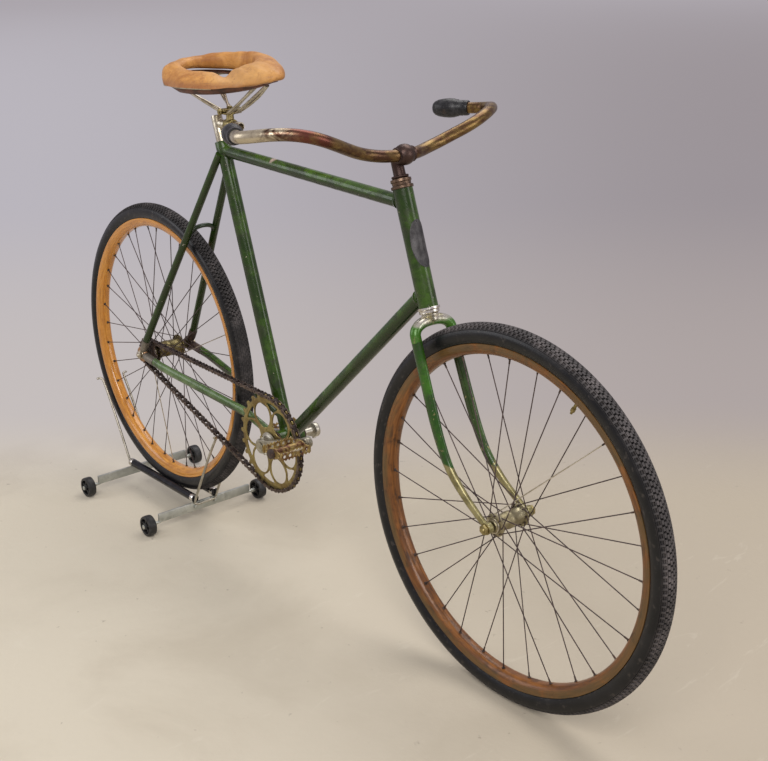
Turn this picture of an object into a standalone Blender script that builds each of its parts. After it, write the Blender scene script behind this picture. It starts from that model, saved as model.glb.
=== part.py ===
"""Old safety bicycle with wooden rims, its rear wheel held in a rolling display stand.

Metres, +X forward, +Y to the rider's left, +Z up. Positions are measured from the
point on the ground below the rear axle; the empty "root" then shifts the whole
model so that its origin is the bottom centre of its bounding box.
"""
import math
import bpy
import bmesh
from mathutils import Matrix, Vector

# ------------------------------------------------------------------ dimensions
WHEELBASE = 1.149            # axle to axle
WHEEL_R = 0.3556             # 28-inch tyre, outside radius
TYRE_R = 0.0205              # radius of the tyre's section
LIFT = 0.0457                # how far the stand lifts the rear wheel
TYRE_HEIGHT = 0.0342         # rim's edge to the tread
RIM_EDGE_R = WHEEL_R - TYRE_HEIGHT
RIM_HALF_W = 0.0166
RIM_DEPTH = 0.0216
RIM_BED = 0.0056             # depth of the bed that the tyre sits in
WHEEL_STEPS = 36
HUB_STEPS = 14

HEAD_ANGLE = math.radians(71.89)
HEAD_BEHIND_AXLE = 0.2058    # lower end of the head tube, behind and above the front axle
HEAD_ABOVE_AXLE = 0.3473
HEAD_LOW_X, HEAD_LOW_Z = WHEELBASE - HEAD_BEHIND_AXLE, WHEEL_R + HEAD_ABOVE_AXLE
HEAD_LEN = 0.2155
HEAD_R = 0.0182
TOP_TUBE_R = 0.0127
TOP_TUBE_BELOW_HEAD = 0.0260  # down the head tube from its upper end
TOP_TUBE_BELOW_SEAT = 0.0190  # down the seat tube from its upper end
DOWN_TUBE_R = 0.0143
DOWN_TUBE_ABOVE_HEAD = 0.0260  # up the head tube from its lower end
SEAT_TUBE_R = 0.0150
BB_SHARE = 0.4317            # of the wheelbase, to the bottom bracket
BB_DROP = 0.0853             # below the rear axle
BB_X, BB_Z = WHEELBASE * BB_SHARE, WHEEL_R + LIFT - BB_DROP
SEAT_BACK, SEAT_UP = 0.1975, 0.6170         # bottom bracket to the top of the seat tube
SEAT_TOP_X, SEAT_TOP_Z = BB_X - SEAT_BACK, BB_Z + SEAT_UP
BB_R, BB_HALF = 0.0215, 0.0360
STAY_R = 0.0088
SEAT_STAY_TOP_Y = 0.0150
SEAT_STAY_BELOW_SEAT = 0.0270
CHAIN_STAY_KNEE_X, CHAIN_STAY_KNEE_Y, CHAIN_STAY_KNEE_Z = BB_X - 0.1110, 0.0330, BB_Z + 0.0350
CHAIN_STAY_HIGH, CHAIN_STAY_FLAT = 0.0106, 0.74   # half height, and width over height
CHAIN_STAY_BB_Y = 0.0240
SOCKET_R = 0.0100
SEAT_SOCKET_LEN, CHAIN_SOCKET_LEN = 0.0460, 0.0560
DROP_Y = 0.0655              # middle of each rear fork end
DROP_THICK, DROP_R = 0.0092, 0.0185
BRIDGE_ABOVE_TYRE, BRIDGE_RISE, BRIDGE_R = 0.0220, 0.0160, 0.0050

AXLE_R = 0.0046
NUT_R, NUT_THICK = 0.0095, 0.0070
RUNNING = 0.0006             # radial clearance of what turns on a pin
GAP = 0.0003                 # between pieces that touch
SEATED = 0.0001              # tyre's true round to the tubes that it rests on
AXLE_STUB = 0.0034           # axle beyond its nut

FORK_RAKE_TIP_Y = 0.0500     # middle of each front fork tip
TIP_THICK, TIP_R = 0.0100, 0.0105
BLADE_R, BLADE_TIP_R, BLADE_FLAT = 0.0112, 0.0062, 0.76
CROWN_R = 0.0098
CUP_R, CUP_H = 0.0208, 0.0125
RACE_GAP = 0.0005
STEM_R, STEM_LEN = 0.0115, 0.0420
BAR_R = 0.0110
BAR_AHEAD, BAR_UP = 0.0053, 0.0613  # middle of the handlebar, from the upper end of the head tube
CLAMP_R, CLAMP_HALF = 0.0190, 0.0190
GRIP_R = 0.0190

PITCH = 0.0254               # one-inch pitch chain
RING_TEETH, COG_TEETH = 26, 8
CHAIN_Y = 0.0475             # chain line, to the right
CHAIN_HALF_W, PLATE_T = 0.0062, 0.0019
PLATE_H, BLOCK_HALF = 0.0046, 0.0038   # half heights of a side plate and of the block in it
SPROCKET_T = 0.0030
TOOTH_ROOT = BLOCK_HALF + 0.0004   # inside the pitch circle
TOOTH_TIP = 0.0040                 # outside it
RING_BAND = 0.0100
HUB_DISC_R = 0.0330
RING_LOOPS = 6
LOOP_STRIP = 0.0050
LOOP_START = math.radians(53)
CRANK_LEN, CRANK_ANGLE = 0.1730, math.radians(19.5)
SPINDLE_R = 0.0078
ARM_Y, ARM_T = 0.0640, 0.0120        # inner face of each arm, and its thickness
ARM_BOSS_R, ARM_EYE_R = 0.0165, 0.0115
PEDAL_GAP = 0.0080           # arm to pedal
PEDAL_LEN, PEDAL_W, PEDAL_H = 0.0760, 0.0624, 0.0190
PEDAL_PLATE_T, PEDAL_TEETH, PEDAL_HOLES, PEDAL_HOLE_R = 0.0022, 3, 2, 0.0050
PEDAL_PIN_R, PEDAL_BARREL_R = 0.0042, 0.0095

FRONT_SPOKES, REAR_SPOKES, SPOKE_R, CROSSES = 32, 36, 0.0011, 3
FRONT_BARREL_R, FRONT_FLANGE_R, FRONT_FLANGE_Y = 0.0150, 0.0215, 0.0310
REAR_BARREL_R, REAR_FLANGE_R = 0.0185, 0.0275
REAR_FLANGE_RIGHT, REAR_FLANGE_LEFT = -0.0315, 0.0345
FLANGE_T = 0.0028

PILLAR_R, PILLAR_UP, PILLAR_ARM, PILLAR_ARM_R = 0.0120, 0.0560, 0.0850, 0.0098
RAIL_R, RAIL_Y = 0.0037, 0.0150
SADDLE_BACK, SADDLE_NOSE = SEAT_TOP_X - 0.1185, SEAT_TOP_X + 0.1955
SADDLE_HALF_W = 0.1150
SADDLE_BAND = 0.0500         # width of the padded ring
SADDLE_LOW, SADDLE_THICK = SEAT_TOP_Z + 0.1270, 0.0565
SADDLE_DIP = 0.0075          # how much lower its top is in the middle
BASE_T = 0.0030

STAND_BACK_X, STAND_FRONT_X = -0.1680, 0.1320
STAND_TRACK = 0.1580
STAND_WHEEL_R, STAND_WHEEL_W, STAND_AXLE_R = 0.0248, 0.0200, 0.0032
STAND_BAR_LOW, STAND_BAR_H, STAND_BAR_T = 0.0235, 0.0220, 0.0060
STAND_TUBE_R = 0.0098
PRONG_R, PRONG_Y, PRONG_TOP, PRONG_LEAN = 0.0030, 0.0305, 0.2560, 0.1200

REAR = Vector((0.0, 0.0, WHEEL_R + LIFT))
FRONT = Vector((WHEELBASE, 0.0, WHEEL_R))
BB = Vector((BB_X, 0.0, BB_Z))
HEAD_DIR = Vector((-math.cos(HEAD_ANGLE), 0.0, math.sin(HEAD_ANGLE)))
HEAD_LOW = Vector((HEAD_LOW_X, 0.0, HEAD_LOW_Z))
HEAD_TOP = HEAD_LOW + HEAD_DIR * HEAD_LEN
SEAT_TOP = Vector((SEAT_TOP_X, 0.0, SEAT_TOP_Z))
SEAT_DIR = (SEAT_TOP - BB).normalized()
Y = Vector((0.0, 1.0, 0.0))

for old in list(bpy.data.objects):
    bpy.data.objects.remove(old, do_unlink=True)

model = bpy.data.collections.new("safety_bicycle")
tools = bpy.data.collections.new("cutters")
bpy.context.scene.collection.children.link(model)
bpy.context.scene.collection.children.link(tools)


# -------------------------------------------------------------------- finishes
# colour, roughness, metallic
ENAMEL = ((0.035, 0.110, 0.030), 0.30, 0.0)
NICKEL = ((0.560, 0.520, 0.440), 0.30, 1.0)
BRASS = ((0.270, 0.220, 0.110), 0.45, 1.0)
COPPER = ((0.420, 0.260, 0.160), 0.40, 1.0)
STEEL = ((0.060, 0.045, 0.038), 0.60, 0.6)
RUBBER = ((0.045, 0.045, 0.048), 0.75, 0.0)
PALE_WOOD = ((0.500, 0.230, 0.050), 0.35, 0.0)
DARK_WOOD = ((0.210, 0.095, 0.035), 0.50, 0.0)
LEATHER = ((0.560, 0.290, 0.100), 0.55, 0.0)
GRIP = ((0.035, 0.035, 0.040), 0.35, 0.0)
ZINC = ((0.480, 0.500, 0.480), 0.45, 0.9)
BLACK = ((0.015, 0.015, 0.018), 0.20, 0.0)


def material(name, finish):
    colour, roughness, metallic = finish
    mat = bpy.data.materials.new(name)
    mat.use_nodes = True
    bsdf = mat.node_tree.nodes["Principled BSDF"]
    bsdf.inputs["Base Color"].default_value = (*colour, 1.0)
    bsdf.inputs["Roughness"].default_value = roughness
    bsdf.inputs["Metallic"].default_value = metallic
    mat.diffuse_color = (*colour, 1.0)
    return mat


# ---------------------------------------------------------------------- bodies
root = bpy.data.objects.new("root", None)
root.location = (-WHEELBASE / 2, 0.0, 0.0)
model.objects.link(root)


def pivot(name, location):
    """An empty on a joint's axis, which the body's pieces hang from."""
    ob = bpy.data.objects.new(name, None)
    ob.empty_display_size = 0.03
    ob.location = location
    ob.parent = root
    model.objects.link(ob)
    return ob


crank_eye = Vector((math.cos(CRANK_ANGLE), 0.0, math.sin(CRANK_ANGLE))) * CRANK_LEN
PEDAL = {-1: BB + crank_eye, 1: BB - crank_eye}
frame_body = pivot("frame_origin", (0.0, 0.0, 0.0))
steering = pivot("steering_axis", HEAD_LOW)
front_wheel = pivot("front_wheel_axis", FRONT)
rear_wheel = pivot("rear_wheel_axis", REAR)
crankset = pivot("crank_axis", BB)
pedal_axis = {-1: pivot("pedal_right_axis", PEDAL[-1]), 1: pivot("pedal_left_axis", PEDAL[1])}


def put(ob, body, finish):
    """Make an object a visible piece of a body, with a material of its own."""
    ob.parent = body
    ob.location = Vector(ob.location) - Vector(body.location)
    ob.data.materials.clear()
    ob.data.materials.append(material(ob.name, finish))
    if any(mod.type == 'BOOLEAN' for mod in ob.modifiers):
        # merge the flat faces that the cuts divided
        mod = ob.modifiers.new("flat_faces", 'DECIMATE')
        mod.decimate_type = 'DISSOLVE'
        mod.angle_limit = math.radians(0.3)
    if ob.name in tools.objects:
        tools.objects.unlink(ob)
    if ob.name not in model.objects:
        model.objects.link(ob)
    ob.hide_render = False
    ob.display_type = 'TEXTURED'
    return ob


def helper(name, data, location=(0.0, 0.0, 0.0), turn=None):
    """Every shape starts as a helper; put() turns it into a piece."""
    ob = bpy.data.objects.new(name, data)
    ob.location = location
    if turn is not None:
        ob.rotation_mode = 'QUATERNION'
        ob.rotation_quaternion = turn
    ob.parent = root
    ob.hide_render = True
    ob.display_type = 'WIRE'
    tools.objects.link(ob)
    return ob


# ---------------------------------------------------------------------- shapes
def cylinder(name, start, end, radius, sides=16):
    start, end = Vector(start), Vector(end)
    axis = end - start
    bm = bmesh.new()
    bmesh.ops.create_cone(bm, cap_ends=True, segments=sides, radius1=radius, radius2=radius, depth=axis.length)
    me = bpy.data.meshes.new(name)
    bm.to_mesh(me)
    bm.free()
    me.shade_smooth()
    me.set_sharp_from_angle(angle=math.radians(40))
    return helper(name, me, (start + end) / 2, axis.to_track_quat('Z', 'Y'))


def block(name, low, high):
    low, high = Vector(low), Vector(high)
    bm = bmesh.new()
    bmesh.ops.create_cube(bm, size=1.0)
    bmesh.ops.scale(bm, vec=high - low, verts=bm.verts)
    me = bpy.data.meshes.new(name)
    bm.to_mesh(me)
    bm.free()
    return helper(name, me, (low + high) / 2)


def turned(name, profile, centre, axis, steps=24, ring=False):
    """(radius, height) points, down the outer side; ring closes the profile."""
    me = bpy.data.meshes.new(name)
    edges = [(i, i + 1) for i in range(len(profile) - 1)]
    if ring:
        edges.append((len(profile) - 1, 0))
    me.from_pydata([(r, 0.0, h) for r, h in profile], edges, [])
    ob = helper(name, me, centre, Vector(axis).to_track_quat('Z', 'Y'))
    mod = ob.modifiers.new("turn", 'SCREW')
    mod.axis = 'Z'
    mod.steps = mod.render_steps = steps
    mod.use_merge_vertices = True
    mod.merge_threshold = 0.00001
    mod.use_smooth_shade = True
    return ob


def capped(profile):
    """Close an open profile on the axis."""
    return [(0.0, profile[0][1])] + profile + [(0.0, profile[-1][1])]


def through_smooth(points, steps):
    """Points on a smooth curve through the route's own points."""
    pts = [Vector(p) for p in points]
    pts = [pts[0] * 2 - pts[1]] + pts + [pts[-1] * 2 - pts[-2]]
    out = []
    for i in range(1, len(pts) - 2):
        a, b, c, d = pts[i - 1:i + 3]
        for s in range(steps):
            t = s / steps
            out.append(0.5 * (2 * b + (c - a) * t + (2 * a - 5 * b + 4 * c - d) * t ** 2 + (3 * b - a - 3 * c + d) * t ** 3))
    out.append(pts[-2])
    return out


def tube(name, points, radius, origin, taper=None, detail=4, flat=1.0):
    """A round rod as a bevelled curve; flat squeezes its section sideways (along Y)."""
    cu = bpy.data.curves.new(name, 'CURVE')
    cu.dimensions = '3D'
    cu.bevel_depth = radius
    cu.bevel_resolution = detail
    cu.use_fill_caps = True
    cu.resolution_u = 1
    cu.twist_mode = 'MINIMUM'
    sp = cu.splines.new('POLY')
    sp.points.add(len(points) - 1)
    for i, p in enumerate(points):
        q = Vector(p) - Vector(origin)
        sp.points[i].co = (q.x, q.y / flat, q.z, 1.0)
        sp.points[i].radius = 1.0 if taper is None else taper[i]
    sp.use_smooth = True
    ob = helper(name, cu, origin)
    ob.scale = (1.0, flat, 1.0)
    return ob


def plate(name, outlines, thickness, centre, tilt=0.0):
    """A flat outline with its holes, standing in the X-Z plane, centred on its thickness."""
    cu = bpy.data.curves.new(name, 'CURVE')
    cu.dimensions = '2D'
    cu.fill_mode = 'BOTH'
    cu.extrude = thickness / 2
    cu.resolution_u = 1
    for line in outlines:
        sp = cu.splines.new('POLY')
        sp.points.add(len(line) - 1)
        for i, (x, z) in enumerate(line):
            sp.points[i].co = (x, z, 0.0, 1.0)
        sp.use_cyclic_u = True
    ob = helper(name, cu, centre)
    ob.rotation_mode = 'XYZ'
    ob.rotation_euler = (math.radians(90), -tilt, 0.0)
    return ob


def as_mesh(ob):
    """The same object as a welded mesh, so that it can be cut or joined."""
    name = ob.name
    bpy.context.view_layer.update()
    me = bpy.data.meshes.new_from_object(ob.evaluated_get(bpy.context.evaluated_depsgraph_get()))
    bm = bmesh.new()
    bm.from_mesh(me)
    bmesh.ops.remove_doubles(bm, verts=bm.verts, dist=0.000005)
    bmesh.ops.scale(bm, vec=ob.scale, verts=bm.verts)
    bmesh.ops.recalc_face_normals(bm, faces=bm.faces)
    bm.to_mesh(me)
    bm.free()
    location, turn = ob.location.copy(), ob.matrix_local.to_quaternion()
    bpy.data.objects.remove(ob, do_unlink=True)
    me.name = name
    me.shade_smooth()
    me.set_sharp_from_angle(angle=math.radians(40))
    return helper(name, me, location, turn)


def boolean(ob, other, operation):
    mod = ob.modifiers.new(operation.lower() + "_" + other.name, 'BOOLEAN')
    mod.operation = operation
    mod.solver = 'EXACT'
    mod.object = other
    return ob


def join(ob, *others):
    for other in others:
        boolean(ob, other, 'UNION')
    return ob


def cut(ob, *others):
    for other in others:
        boolean(ob, other, 'DIFFERENCE')
    return ob


def bore(radius, clearance, sides):
    """Corner radius of a faceted hole whose flats clear a pin by the clearance."""
    return (radius + clearance) / math.cos(math.pi / sides)


def circle(radius, sides, x=0.0, z=0.0, start=0.0):
    return [(x + radius * math.cos(start + 2 * math.pi * i / sides), z + radius * math.sin(start + 2 * math.pi * i / sides)) for i in range(sides)]


def side(sign):
    return "left" if sign > 0 else "right"


# ---------------------------------------------------------------------- wheels
def tyre_profile():
    """The round section, open where it sits on the rim."""
    mid = WHEEL_R - TYRE_R
    half = RIM_HALF_W - 0.0006
    base = math.acos(half / TYRE_R)
    pts = []
    count = 8
    start, end = math.pi / 2 + base, -math.pi / 2 - base
    # from the left edge over the tread to the right edge, then the base back
    for i in range(count + 1):
        w = start + (end - start) * i / count
        pts.append((mid + TYRE_R * math.cos(w), TYRE_R * math.sin(w)))
    pts[0] = (RIM_EDGE_R + GAP, half)
    pts[-1] = (RIM_EDGE_R + GAP, -half)
    pts.append((RIM_EDGE_R - RIM_BED + 2 * GAP, 0.0))
    return pts


def rim_profile():
    w, e, low = RIM_HALF_W, RIM_EDGE_R, RIM_EDGE_R - RIM_DEPTH
    return [(e - RIM_BED - GAP, 0.0), (e - GAP, -w), (e - RIM_BED, -w), (low, -w * 0.50),
            (low, w * 0.50), (e - RIM_BED, w), (e - GAP, w)]


def hub_profile(right_end, right_flange, left_flange, left_end, barrel, flange):
    hole, t = bore(AXLE_R, RUNNING, HUB_STEPS), FLANGE_T / 2
    return [(0.0110, left_end), (0.0125, left_flange + t + 0.004), (flange, left_flange + t), (flange, left_flange - t), (barrel, left_flange - t - 0.006),
            (barrel, right_flange + t + 0.006), (flange, right_flange + t), (flange, right_flange - t), (0.0125, right_flange - t - 0.004), (0.0110, right_end),
            (hole, right_end), (hole, left_end)]


def facet_radius(radius, angle, steps):
    """Distance from the axis to the face of a faceted ring at an angle."""
    half = math.pi / steps
    return radius * math.cos(half) / math.cos(angle % (2 * half) - half)


def spoke_set(name, count, centre, flange, right_flange, left_flange):
    """Tangent spokes, laced from alternate faces of the flanges."""
    bm = bmesh.new()
    per_side = count // 2
    swing = 2 * math.pi / per_side * CROSSES
    for k in range(count):
        a = 2 * math.pi * k / count
        left = k % 2
        lead = 1 if (k // 2) % 2 else -1
        y = (left_flange if left else right_flange) + 0.0017 * lead * (1 if left else -1)
        start = Vector(((flange - 0.0035) * math.sin(a + lead * swing), y, (flange - 0.0035) * math.cos(a + lead * swing)))
        end_r = facet_radius(RIM_EDGE_R - RIM_DEPTH, a, WHEEL_STEPS) - 2 * GAP
        end = Vector((end_r * math.sin(a), 0.003 if left else -0.003, end_r * math.cos(a)))
        axis = end - start
        place = Matrix.Translation((start + end) / 2) @ axis.to_track_quat('Z', 'Y').to_matrix().to_4x4()
        bmesh.ops.create_cone(bm, cap_ends=True, segments=3, radius1=SPOKE_R, radius2=SPOKE_R, depth=axis.length, matrix=place)
    me = bpy.data.meshes.new(name)
    bm.to_mesh(me)
    bm.free()
    return helper(name, me, centre)


def wheel(tag, centre, body, wood, spokes, barrel, flange, right_end, right_flange, left_flange, left_end):
    put(turned(tag + "_tyre", tyre_profile(), centre, Y, WHEEL_STEPS, ring=True), body, RUBBER)
    put(turned(tag + "_rim", rim_profile(), centre, Y, WHEEL_STEPS, ring=True), body, wood)
    hub = turned(tag + "_hub", hub_profile(right_end, right_flange, left_flange, left_end, barrel, flange), centre, Y, HUB_STEPS, ring=True)
    join(hub, spoke_set("spokes_" + tag, spokes, centre, flange, right_flange, left_flange))
    put(hub, body, BRASS)


tip_inner = FORK_RAKE_TIP_Y - TIP_THICK / 2
wheel("front", FRONT, front_wheel, DARK_WOOD, FRONT_SPOKES, FRONT_BARREL_R, FRONT_FLANGE_R,
      -(tip_inner - 0.0045), -FRONT_FLANGE_Y, FRONT_FLANGE_Y, tip_inner - 0.0045)
drop_inner = DROP_Y - DROP_THICK / 2
wheel("rear", REAR, rear_wheel, PALE_WOOD, REAR_SPOKES, REAR_BARREL_R, REAR_FLANGE_R,
      -(CHAIN_Y - SPROCKET_T / 2 - GAP), REAR_FLANGE_RIGHT, REAR_FLANGE_LEFT, drop_inner - 0.0045)

# ----------------------------------------------------------------- chain drive
ring_r = PITCH / (2 * math.sin(math.pi / RING_TEETH))
cog_r = PITCH / (2 * math.sin(math.pi / COG_TEETH))
cog_c, ring_c = Vector((REAR.x, REAR.z)), Vector((BB.x, BB.z))
between = ring_c - cog_c
slope = math.atan2(between.y, between.x)
splay = math.asin((ring_r - cog_r) / between.length)
top_a, low_a = slope + math.pi / 2 + splay, slope - math.pi / 2 - splay
run = math.sqrt(between.length ** 2 - (ring_r - cog_r) ** 2)
ring_arc, cog_arc = ring_r * (math.pi + 2 * splay), cog_r * (math.pi - 2 * splay)
loop_len = 2 * run + ring_arc + cog_arc
LINKS = round(loop_len / PITCH)
STEP = loop_len / LINKS


def polar(centre, angle, radius):
    return centre + Vector((math.cos(angle), math.sin(angle))) * radius


def on_loop(s):
    """Point and outward normal on the pitch line; s starts where the top run leaves the cog."""
    s %= loop_len
    if s < run:
        return polar(cog_c, top_a, cog_r) + Vector((math.sin(top_a), -math.cos(top_a))) * s, top_a
    s -= run
    if s < ring_arc:
        return polar(ring_c, top_a - s / ring_r, ring_r), top_a - s / ring_r
    s -= ring_arc
    if s < run:
        return polar(ring_c, low_a, ring_r) + Vector((math.sin(low_a), -math.cos(low_a))) * s, low_a
    s -= run
    return polar(cog_c, low_a - s / cog_r, cog_r), low_a - s / cog_r


# blocks sit at (k + 1/2) steps; the sprockets' teeth stand between them
ring_phase = top_a - (math.ceil(run / STEP) * STEP - run) / ring_r
cog_start = 2 * run + ring_arc
cog_phase = low_a - (round((cog_start + cog_arc / 2) / STEP) * STEP - cog_start) / cog_r


def toothed(teeth, radius, phase):
    root_r, tip_r = radius - TOOTH_ROOT, radius + TOOTH_TIP
    foot, crest = 0.0072 / radius, 0.0030 / radius
    out = []
    for k in range(teeth):
        a = phase + 2 * math.pi * k / teeth
        for r, w in ((root_r, a - foot), (tip_r, a - crest), (tip_r, a + crest), (root_r, a + foot)):
            out.append((r * math.cos(w), r * math.sin(w)))
    return out


def chain_side(sign):
    """One row of side plates: a band round the loop, with a corner at each link's end."""
    outer, inner = [], []
    for k in range(LINKS):
        p, a = on_loop(k * STEP)
        outer.append(tuple(polar(p, a, PLATE_H)))
        inner.append(tuple(polar(p, a, -PLATE_H)))
    return plate("chain" if sign < 0 else "chain_left_plates", [outer, inner], PLATE_T, (0.0, -CHAIN_Y + sign * (CHAIN_HALF_W - PLATE_T / 2), 0.0))


blocks = bmesh.new()
for k in range(LINKS):
    p, a = on_loop((k + 0.5) * STEP)
    place = Matrix.Translation((p.x, -CHAIN_Y, p.y)) @ Matrix.Rotation(-a - math.pi / 4, 4, 'Y') @ Matrix.Rotation(math.radians(90), 4, 'X')
    bmesh.ops.create_cone(blocks, cap_ends=True, segments=4, radius1=BLOCK_HALF * math.sqrt(2), radius2=BLOCK_HALF * math.sqrt(2), depth=2 * CHAIN_HALF_W - PLATE_T, matrix=place)
block_mesh = bpy.data.meshes.new("chain_blocks")
blocks.to_mesh(block_mesh)
blocks.free()
chain = as_mesh(chain_side(-1))
join(chain, helper("chain_blocks", block_mesh), as_mesh(chain_side(1)))
put(chain, frame_body, STEEL)


def loop_holes():
    """The open loops of the chainring, and the gaps left between them."""
    band_in = ring_r - TOOTH_ROOT - RING_BAND
    mid = (band_in + HUB_DISC_R) / 2
    deep = (band_in - HUB_DISC_R) / 2 + LOOP_STRIP * 0.25
    wide = mid * math.sin(math.pi / RING_LOOPS) + LOOP_STRIP * 0.25
    holes = []
    for k in range(RING_LOOPS):
        c = LOOP_START + 2 * math.pi * k / RING_LOOPS
        line = []
        for i in range(16):
            w = 2 * math.pi * i / 16
            u = mid + (deep - LOOP_STRIP / 2) * math.cos(w)
            v = (wide - LOOP_STRIP) * math.sin(w) * (1.0 + 0.10 * math.cos(w))
            line.append((u * math.cos(c) - v * math.sin(c), u * math.sin(c) + v * math.cos(c)))
        holes.append(line)
        # the three-cornered gap outside the place where two loops meet
        g = c + math.pi / RING_LOOPS
        half = math.pi / RING_LOOPS * 0.44
        outer, inner = [], []
        for i in range(5):
            a = -half + 2 * half * i / 4
            outer.append((band_in, g + a))
            off = math.pi / RING_LOOPS - abs(a)
            r = band_in
            while r > mid and ((r * math.cos(off) - mid) / (deep + LOOP_STRIP / 2)) ** 2 + (r * math.sin(off) / wide) ** 2 > 1.0:
                r -= 0.0002
            inner.append((min(r, band_in - 0.0010), g + a))
        holes.append([(r * math.cos(a), r * math.sin(a)) for r, a in outer + inner[-2:0:-1]])
    return holes


ring_hole = circle(bore(SPINDLE_R, GAP, 16), 16)
put(plate("chainring", [toothed(RING_TEETH, ring_r, ring_phase)] + loop_holes() + [ring_hole], SPROCKET_T, BB - Y * CHAIN_Y), crankset, BRASS)
put(plate("rear_sprocket", [toothed(COG_TEETH, cog_r, cog_phase), circle(bore(AXLE_R, RUNNING, 12), 12)], SPROCKET_T, REAR - Y * CHAIN_Y), rear_wheel, STEEL)

# cranks: the spindle, both arms and the pedal pins
arm_out = ARM_Y + ARM_T
pedal_in = arm_out + PEDAL_GAP
cranks = cylinder("cranks", BB - Y * (arm_out - 0.004), BB + Y * (arm_out - 0.004), SPINDLE_R, 16)
for sign in (-1, 1):
    tag = side(sign)
    outline = [(ARM_BOSS_R * math.cos(math.radians(90 + 20 * i)), ARM_BOSS_R * math.sin(math.radians(90 + 20 * i))) for i in range(10)]
    outline += [(CRANK_LEN + ARM_EYE_R * math.cos(math.radians(-90 + 22.5 * i)), ARM_EYE_R * math.sin(math.radians(-90 + 22.5 * i))) for i in range(9)]
    arm = as_mesh(plate("arm_" + tag, [outline], ARM_T, BB + Y * sign * (ARM_Y + ARM_T / 2), CRANK_ANGLE + (math.pi if sign > 0 else 0.0)))
    eye = PEDAL[sign]
    collar = cylinder("pin_collar_" + tag, eye + Y * sign * (ARM_Y + 0.004), eye + Y * sign * (arm_out + 0.0030), ARM_EYE_R * 0.8, 12)
    pin = cylinder("pin_" + tag, eye + Y * sign * (ARM_Y + 0.006), eye + Y * sign * (pedal_in + PEDAL_LEN + 0.0020), PEDAL_PIN_R, 12)
    join(cranks, arm, collar, pin)

    # rat-trap pedal: barrel, two end plates and two pierced side plates
    inner, outer = pedal_in, pedal_in + PEDAL_LEN
    pedal = cylinder("pedal_" + tag, eye + Y * sign * inner, eye + Y * sign * outer, PEDAL_BARREL_R, 10)
    w, h = PEDAL_W / 2 - PEDAL_PLATE_T / 2, PEDAL_H / 2
    end_line = [(-w, -h * 0.6), (0.0, -h * 1.2), (w, -h * 0.6), (w, h * 0.6), (0.0, h * 1.2), (-w, h * 0.6)]
    for n, y in enumerate((inner + 0.0050, outer - 0.0050)):
        join(pedal, as_mesh(plate("pedal_end_%s_%d" % (tag, n), [end_line], 0.0020, eye + Y * sign * y)))
    edge = []
    half_len = PEDAL_LEN / 2 - 0.0012
    for i in range(2 * PEDAL_TEETH + 1):
        edge.append((-half_len + half_len * i / PEDAL_TEETH, h if i % 2 else h - (0.0040 if i % (2 * PEDAL_TEETH) == 0 else 0.0026)))
    line = edge + [(x, -z) for x, z in reversed(edge)]
    holes = [circle(PEDAL_HOLE_R, 6, x=PEDAL_LEN * ((n + 0.5) / PEDAL_HOLES - 0.5)) for n in range(PEDAL_HOLES)]
    for n, x in enumerate((-1, 1)):
        rail = plate("pedal_side_%s_%d" % (tag, n), [line] + holes, PEDAL_PLATE_T, eye + Vector((x * w, sign * (inner + outer) / 2, 0.0)))
        rail.rotation_euler = (math.radians(90), 0.0, math.radians(90))
        join(pedal, as_mesh(rail))
    cut(pedal, cylinder("pedal_hole_" + tag, eye + Y * sign * (inner - 0.01), eye + Y * sign * (outer + 0.01), bore(PEDAL_PIN_R, RUNNING, 12), 12))
    put(pedal, pedal_axis[sign], BRASS)
put(cranks, crankset, NICKEL)

# ----------------------------------------------------------------------- frame
put(cylinder("head_tube", HEAD_LOW, HEAD_TOP, HEAD_R, 24), frame_body, ENAMEL)
cut_head = cylinder("cut_head", HEAD_LOW - HEAD_DIR * 0.05, HEAD_TOP + HEAD_DIR * 0.05, HEAD_R + GAP, 24)
cut_seat = cylinder("cut_seat", BB - SEAT_DIR * 0.03, SEAT_TOP + SEAT_DIR * 0.06, SEAT_TUBE_R + GAP, 20)
cut_bb = cylinder("cut_bb", BB - Y * 0.08, BB + Y * 0.08, BB_R + GAP, 24)
put(cut(cylinder("seat_tube", BB, SEAT_TOP, SEAT_TUBE_R, 20), cut_bb), frame_body, ENAMEL)
BB_CUP, BB_WALL = 0.0060, 0.0050
hole, shell = bore(SPINDLE_R, RUNNING, 16), BB_R - BB_WALL
put(turned("bottom_bracket", [(BB_R, BB_HALF), (BB_R, -BB_HALF), (hole, -BB_HALF), (hole, -BB_HALF + BB_CUP), (shell, -BB_HALF + BB_CUP), (shell, BB_HALF - BB_CUP), (hole, BB_HALF - BB_CUP), (hole, BB_HALF)],
           BB, Y, 16, ring=True), frame_body, ENAMEL)

top_rear, top_front = SEAT_TOP - SEAT_DIR * TOP_TUBE_BELOW_SEAT, HEAD_TOP - HEAD_DIR * TOP_TUBE_BELOW_HEAD
put(cut(cylinder("top_tube", top_rear, top_front, TOP_TUBE_R, 20), cut_seat, cut_head), frame_body, ENAMEL)
cut_top = cylinder("cut_top", top_rear, top_front, TOP_TUBE_R + GAP, 20)
down_front = HEAD_LOW + HEAD_DIR * DOWN_TUBE_ABOVE_HEAD
put(cut(cylinder("down_tube", BB, down_front, DOWN_TUBE_R, 20), cut_head, cut_bb, cut_seat), frame_body, ENAMEL)

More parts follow.
